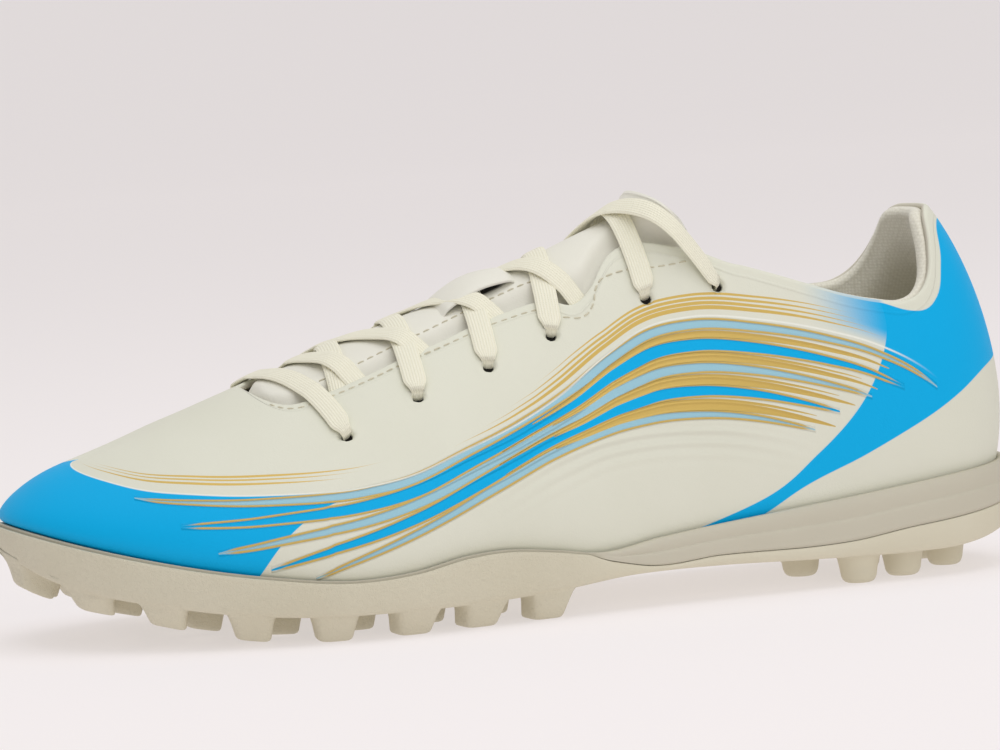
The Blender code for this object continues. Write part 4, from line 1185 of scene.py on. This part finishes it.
# Painted shade: the slot's shadow under the keeper, as a share on the tongue's upper face
slot_shade = (1 - ease(*SLOT_BORDER, off_band)) * ease(*SLOT_START, at) * (1 - ease(*SLOT_END, at))
faces = two_sheets(ROWS, COLUMNS, (0,))
vertices = np.concatenate([upper_face.reshape(-1, 3), lower_face.reshape(-1, 3)])
from_edge = np.minimum(to_end, 0.02 + 0 * across) * 1000
attributes = {
    "slot_shade": np.concatenate([slot_shade.ravel(), 0 * slot_shade.ravel()]),
    "from_edge": np.concatenate([from_edge.ravel(), 9 + 0 * from_edge.ravel()]),
}
tongue = new_piece("padded_tongue", vertices, faces, microfibre, attributes, merge=2e-6)
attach(tongue, "root")
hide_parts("tongue")

# Laces
# One flat woven lace. It lies as a bar over the front of the throat and crosses five times. Each end comes up
# through an eyelet, where it is squeezed narrow, and goes under the opposite edge.
LACE_WIDTH, LACE_THICKNESS, LACE_SQUEEZED = 0.0064, 0.0012, 0.0015
LACE_BRIDGE, LACE_SINK, LACE_UNDER_EDGE = 0.035, 0.0027, 0.0035
LACE_EXITS = ((0.664, 0.665), (0.596, 0.605), (0.517, 0.530), (0.438, 0.455))
FIRST_STRANDS = (0.688, 0.715)
STEPS, AROUND = 84, 18


def lace_bed(station, across, over_sides):
    """Height of the lace's lower face: on the tongue, or on the upper at a side where it lies over it."""
    side = np.where(across < 0, OUTER, INNER)
    on_tongue = tongue_top(station, across) + 0.0003
    past_edge = np.abs(across) - throat_half(station, side)
    over = np.isin(side, over_sides)
    rise = ease(-0.0062, -0.0014, past_edge) * over
    return on_tongue + (np.maximum(on_tongue, 0.0004) - on_tongue) * rise


def bridged(run, lift):
    """A taut strand's height: it rests on the high places and passes over the hollows in a wide curve."""
    bend = (run[:, None] - run[None, :]) ** 2 / (2 * LACE_BRIDGE)
    over = (lift[None, :] - bend).max(axis=1)
    return (over[None, :] + bend).min(axis=1)


def strand_line(start, end, bow):
    """Shares, stations and distances across of a strand that bows a little towards the toe."""
    t = np.linspace(0, 1, STEPS)
    at = start[0] + (end[0] - start[0]) * t + bow * np.sin(math.pi * t**1.3)
    return t, at, start[1] + (end[1] - start[1]) * t


def lace_strand(start, end, over_sides, eyelet_ends, bow, humps):
    """Rings of points of one strand between two places, each a station and a distance across."""
    t, at, across = strand_line(start, end, bow)
    spine, _ = over_instep(at, across, 0 * t)
    run = np.concatenate([[0], np.cumsum(np.linalg.norm(np.diff(spine, axis=0), axis=-1))])
    from_eyelet = np.full(STEPS, 1.0)
    if eyelet_ends[0]:
        from_eyelet = np.minimum(from_eyelet, run)
    if eyelet_ends[1]:
        from_eyelet = np.minimum(from_eyelet, run[-1] - run)
    half = LACE_SQUEEZED + (LACE_WIDTH / 2 - LACE_SQUEEZED) * ease(0.0002, 0.0052, from_eyelet)
    ahead = np.gradient(np.stack([along(at), across], -1), axis=0)
    ahead /= np.linalg.norm(ahead, axis=-1, keepdims=True)
    hump = 0 * t
    for *other, height, reach in humps:
        _, other_at, other_across = strand_line(*other)
        apart = np.hypot((at[:, None] - other_at) * LENGTH, across[:, None] - other_across)
        crossing = run[apart.min(axis=1).argmin()]
        hump += height * np.exp(-((run - crossing) / reach) ** 2)
    sides = []
    for sign in (-1, 1):
        sides.append((at - sign * half * ahead[:, 1] / LENGTH, across - sign * half * ahead[:, 0]))
    lift = bridged(run, np.maximum(*[lace_bed(s, a, over_sides) for s, a in sides])) + hump
    lift = -LACE_SINK + (lift + LACE_SINK) * ease(-0.0009, 0.0019, from_eyelet)
    borders = [over_instep(s, a, lift)[0] for s, a in sides]
    middle, across_way = (borders[0] + borders[1]) / 2, (borders[1] - borders[0]) / 2
    across_way *= (half / np.linalg.norm(across_way, axis=-1))[:, None]
    tangent = np.gradient(middle, axis=0)
    normal = np.cross(tangent, across_way)
    normal /= np.linalg.norm(normal, axis=-1, keepdims=True)
    normal *= np.sign(normal[:, 2:] + 1e-9)
    thick = LACE_THICKNESS * (1 + 0.5 * (1 - half / (LACE_WIDTH / 2)))
    rings, share = [], []
    for k in range(AROUND):
        angle = 2 * math.pi * k / AROUND
        u = math.copysign(abs(math.cos(angle)) ** 0.7, math.cos(angle))
        v = 0.5 + 0.5 * math.copysign(abs(math.sin(angle)) ** 0.8, math.sin(angle))
        rings.append(middle + across_way * u + normal * (thick * v)[:, None])
        share.append(np.full(STEPS, u))
    return np.stack(rings, 1).reshape(-1, 3), np.stack(share, 1).ravel(), np.repeat(run * 1000, AROUND)


woven, tree, shader = new_material("woven_lace")
# Flat woven polyester: lengthwise ribs with a fine slanting braid between them, soft and matt.
across_lace = node(tree, "ShaderNodeAttribute", out=2, attribute_name="across_lace")
along_lace = node(tree, "ShaderNodeAttribute", out=2, attribute_name="along_lace")
RIBS, BRAID_PITCH = 8.0, 0.75
rib = maths(tree, "MULTIPLY", across_lace, math.pi * RIBS)
rib = maths(tree, "COSINE", rib)
slant = maths(tree, "MULTIPLY", rib, 1.6)
braid = maths(tree, "SINE", maths(tree, "MULTIPLY_ADD", along_lace, 2 * math.pi / BRAID_PITCH, slant))
place = node(tree, "ShaderNodeTexCoord", out=3)
fibres = noise(tree, place, 2600.0, 3.0)
height = maths(tree, "MULTIPLY_ADD", braid, 0.28, rib)
height = maths(tree, "MULTIPLY_ADD", fibres, 0.6, height)
# Painted shade: the colour is lighter on the ribs' crowns and darker in the hollows between them
rib_shading = node(tree, "ShaderNodeMapRange", {"Value": rib, "From Min": -1.0, "From Max": 0.4})
dress(tree, shader, blend(tree, rib_shading, "#EEEAD2", "#F4F1DD"), height, 0.00007, 0.8)
shader.inputs["Roughness"].default_value = 0.82
shader.inputs["Sheen Weight"].default_value = 0.15

outer = [(s, -share * BALL_WIDTH) for s, share, _, _ in EYELETS]
inner = [(s, share * BALL_WIDTH) for _, _, s, share in EYELETS]


def under_edge(station, side):
    """A hidden place under the throat's edge."""
    return (station, float(side * (throat_half(np.array(station), side) + LACE_UNDER_EDGE)))


BOTH, NEITHER = (OUTER, INNER), ()
LIFT, REACH = LACE_THICKNESS + 0.0003, 0.0075
TOP_BOWS = (0.006, 0.012)
first, second = under_edge(FIRST_STRANDS[0], OUTER), under_edge(LACE_EXITS[0][1], INNER)
strands = [
    (outer[0], inner[0], BOTH, (True, True), 0.0, ()),
    (first, second, NEITHER, (False, False), 0.0, ()),
    (under_edge(FIRST_STRANDS[1], INNER), under_edge(LACE_EXITS[0][0], OUTER), NEITHER, (False, False), 0.0,
     ((first, second, 0.0, LIFT, REACH),)),
]
for row in range(1, 4):
    far = under_edge(LACE_EXITS[row][1], INNER)
    near_side = under_edge(LACE_EXITS[row][0], OUTER)
    hump = (outer[row], far, 0.0, LIFT, REACH)
    strands.append((outer[row], far, (OUTER,), (True, False), 0.0, ()))
    strands.append((inner[row], near_side, (INNER,), (True, False), 0.0, (hump,)))
strands.append((outer[4], inner[5], BOTH, (True, True), TOP_BOWS[0], ()))
strands.append((inner[4], outer[5], BOTH, (True, True), TOP_BOWS[1],
                ((outer[4], inner[5], TOP_BOWS[0], LIFT * 1.1, 0.011),)))
vertices, faces, across_values, along_values = [], [], [], []
for strand in strands:
    points, share, run = lace_strand(*strand)
    faces += tube(sum(len(v) for v in vertices), STEPS, AROUND)
    vertices.append(points)
    across_values.append(share)
    along_values.append(run)
attributes = {"across_lace": np.concatenate(across_values), "along_lace": np.concatenate(along_values)}
laces = new_piece("flat_laces", np.concatenate(vertices), faces, woven, attributes)
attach(laces, "root")
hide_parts("lace_bar", "laces")

# Lace keeper
# The loop in the middle of the tongue that holds the laces in place: a band of the tongue's own skin, arched
# over the third crossing, with a cut edge on each side.
rows, columns = 44, 20
share = np.linspace(0, 1, rows + 1)[:, None]
off = np.linspace(-1, 1, columns + 1)[None, :]
at = KEEPER_ENDS[0] + (KEEPER_ENDS[1] - KEEPER_ENDS[0]) * share + 0 * off
arch = np.sin(math.pi * share)
across = tongue_middle(at) - KEEPER_SHIFT + KEEPER_HALF_WIDTH * off
raised = (2 * LACE_THICKNESS + 0.0003) * arch**1.1 * (1 - 0.12 * off**2)
lift = tongue_top(at, across) - 0.0011 * (1 - ease(0.0, 0.35, arch)) + raised
lip = np.sqrt(np.clip(1 - (1 - np.clip((1 - np.abs(off)) / 0.10, 0, 1)) ** 2, 0, 1)) + 0 * share
band_top, _ = over_instep(at, across, lift + KEEPER_THICKNESS / 2 * (1 + lip))
band_low, _ = over_instep(at, across, lift + KEEPER_THICKNESS / 2 * (1 - lip))
vertices = np.concatenate([band_top.reshape(-1, 3), band_low.reshape(-1, 3)])
plain = np.zeros(len(vertices))
attributes = {"slot_shade": plain, "from_edge": plain + 9}
faces = two_sheets(rows, columns, (0, rows))
keeper = new_piece("lace_keeper_band", vertices, faces, microfibre, attributes, merge=2e-6)
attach(keeper, "root")
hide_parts("lace_keeper")

# Stitching
# Lockstitch in cream thread: one row along the throat's edge on the upper, one on the tongue inside it, and a
# row round the corner of the eyelet tab up to the collar. Each stitch is a small sunk loop of thread.
STITCH_LENGTH, STITCH_GAP, THREAD_RADIUS = 0.0020, 0.0010, 0.00023
STITCH_RINGS, THREAD_SIDES, LINE_POINTS = 7, 6, 300
ROW_ON_UPPER, ROW_ON_TONGUE = 0.0014, 0.0068

thread, tree, shader = new_material("polyester_thread")
# Bonded polyester sewing thread, three ply, a little shinier than the skin.
place = node(tree, "ShaderNodeTexCoord", out=3)
ply = noise(tree, place, 3000.0, 2.0)
dress(tree, shader, blend(tree, ply, "#C9C3AA", "#D8D2BB"), ply, 0.00008, 0.5)
shader.inputs["Roughness"].default_value = 0.55


def sew(points, normals, vertices, faces):
    """Stitches along a line of points: short loops of thread that dip at both ends."""
    run = np.concatenate([[0], np.cumsum(np.linalg.norm(np.diff(points, axis=0), axis=-1))])
    place = 0.0
    while place + STITCH_LENGTH < run[-1]:
        t = np.linspace(place, place + STITCH_LENGTH, STITCH_RINGS)
        line = np.stack([np.interp(t, run, points[:, k]) for k in range(3)], -1)
        out = np.stack([np.interp(t, run, normals[:, k]) for k in range(3)], -1)
        out /= np.linalg.norm(out, axis=-1, keepdims=True)
        hump = 1.2 * np.sin(np.linspace(0, math.pi, STITCH_RINGS)) ** 0.5 - 0.9
        line += out * (THREAD_RADIUS * hump)[:, None]
        ahead = np.gradient(line, axis=0)
        beside = np.cross(out, ahead)
        beside /= np.linalg.norm(beside, axis=-1, keepdims=True)
        ring = [line + THREAD_RADIUS * (beside * math.cos(a) + out * math.sin(a))
                for a in np.linspace(0, 2 * math.pi, THREAD_SIDES, endpoint=False)]
        faces += tube(sum(len(v) for v in vertices), STITCH_RINGS, THREAD_SIDES)
        vertices.append(np.stack(ring, 1).reshape(-1, 3))
        place += STITCH_LENGTH + STITCH_GAP


def on_skin(at, turn, side):
    """Points on the upper at stations and turns, with the skin's outward direction."""
    return inside(at, np.full(len(at), side), turn, np.zeros(len(at)))


vertices, faces = [], []
for side in (OUTER, INNER):
    at = np.linspace(0.752, 0.475 if side == OUTER else 0.345, LINE_POINTS)
    turn = turn_at_distance(at, side, throat_half(at, side) + ROW_ON_UPPER)
    sew(*on_skin(at, turn, side), vertices, faces)
    at = np.linspace(0.700, 0.445, LINE_POINTS)
    across = side * (throat_half(at, side) - ROW_ON_TONGUE)
    sew(*over_instep(at, across, tongue_top(at, across)), vertices, faces)

# The row round the tab's corner goes on a smooth line through these stations and turns
TAB_STATIONS = (0.475, 0.461, 0.451, 0.441, 0.433, 0.429, 0.423, 0.415, 0.395, 0.371, 0.352, 0.338)
TAB_TURNS = (0.620, 0.600, 0.584, 0.584, 0.607, 0.640, 0.662, 0.668, 0.658, 0.629, 0.612, 0.604)
known = np.arange(len(TAB_STATIONS))
order = np.linspace(0, known[-1], 400)
at = smooth(np.stack([known, TAB_STATIONS], -1), order)
turn = smooth(np.stack([known, TAB_TURNS], -1), order)
sew(*on_skin(at, turn, OUTER), vertices, faces)
stitches = new_piece("throat_stitching", np.concatenate(vertices), faces, thread)
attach(stitches, "root")

size = {"cad": [list(cad_low), list(cad_high)], "visual": [list(corner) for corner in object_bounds()]}
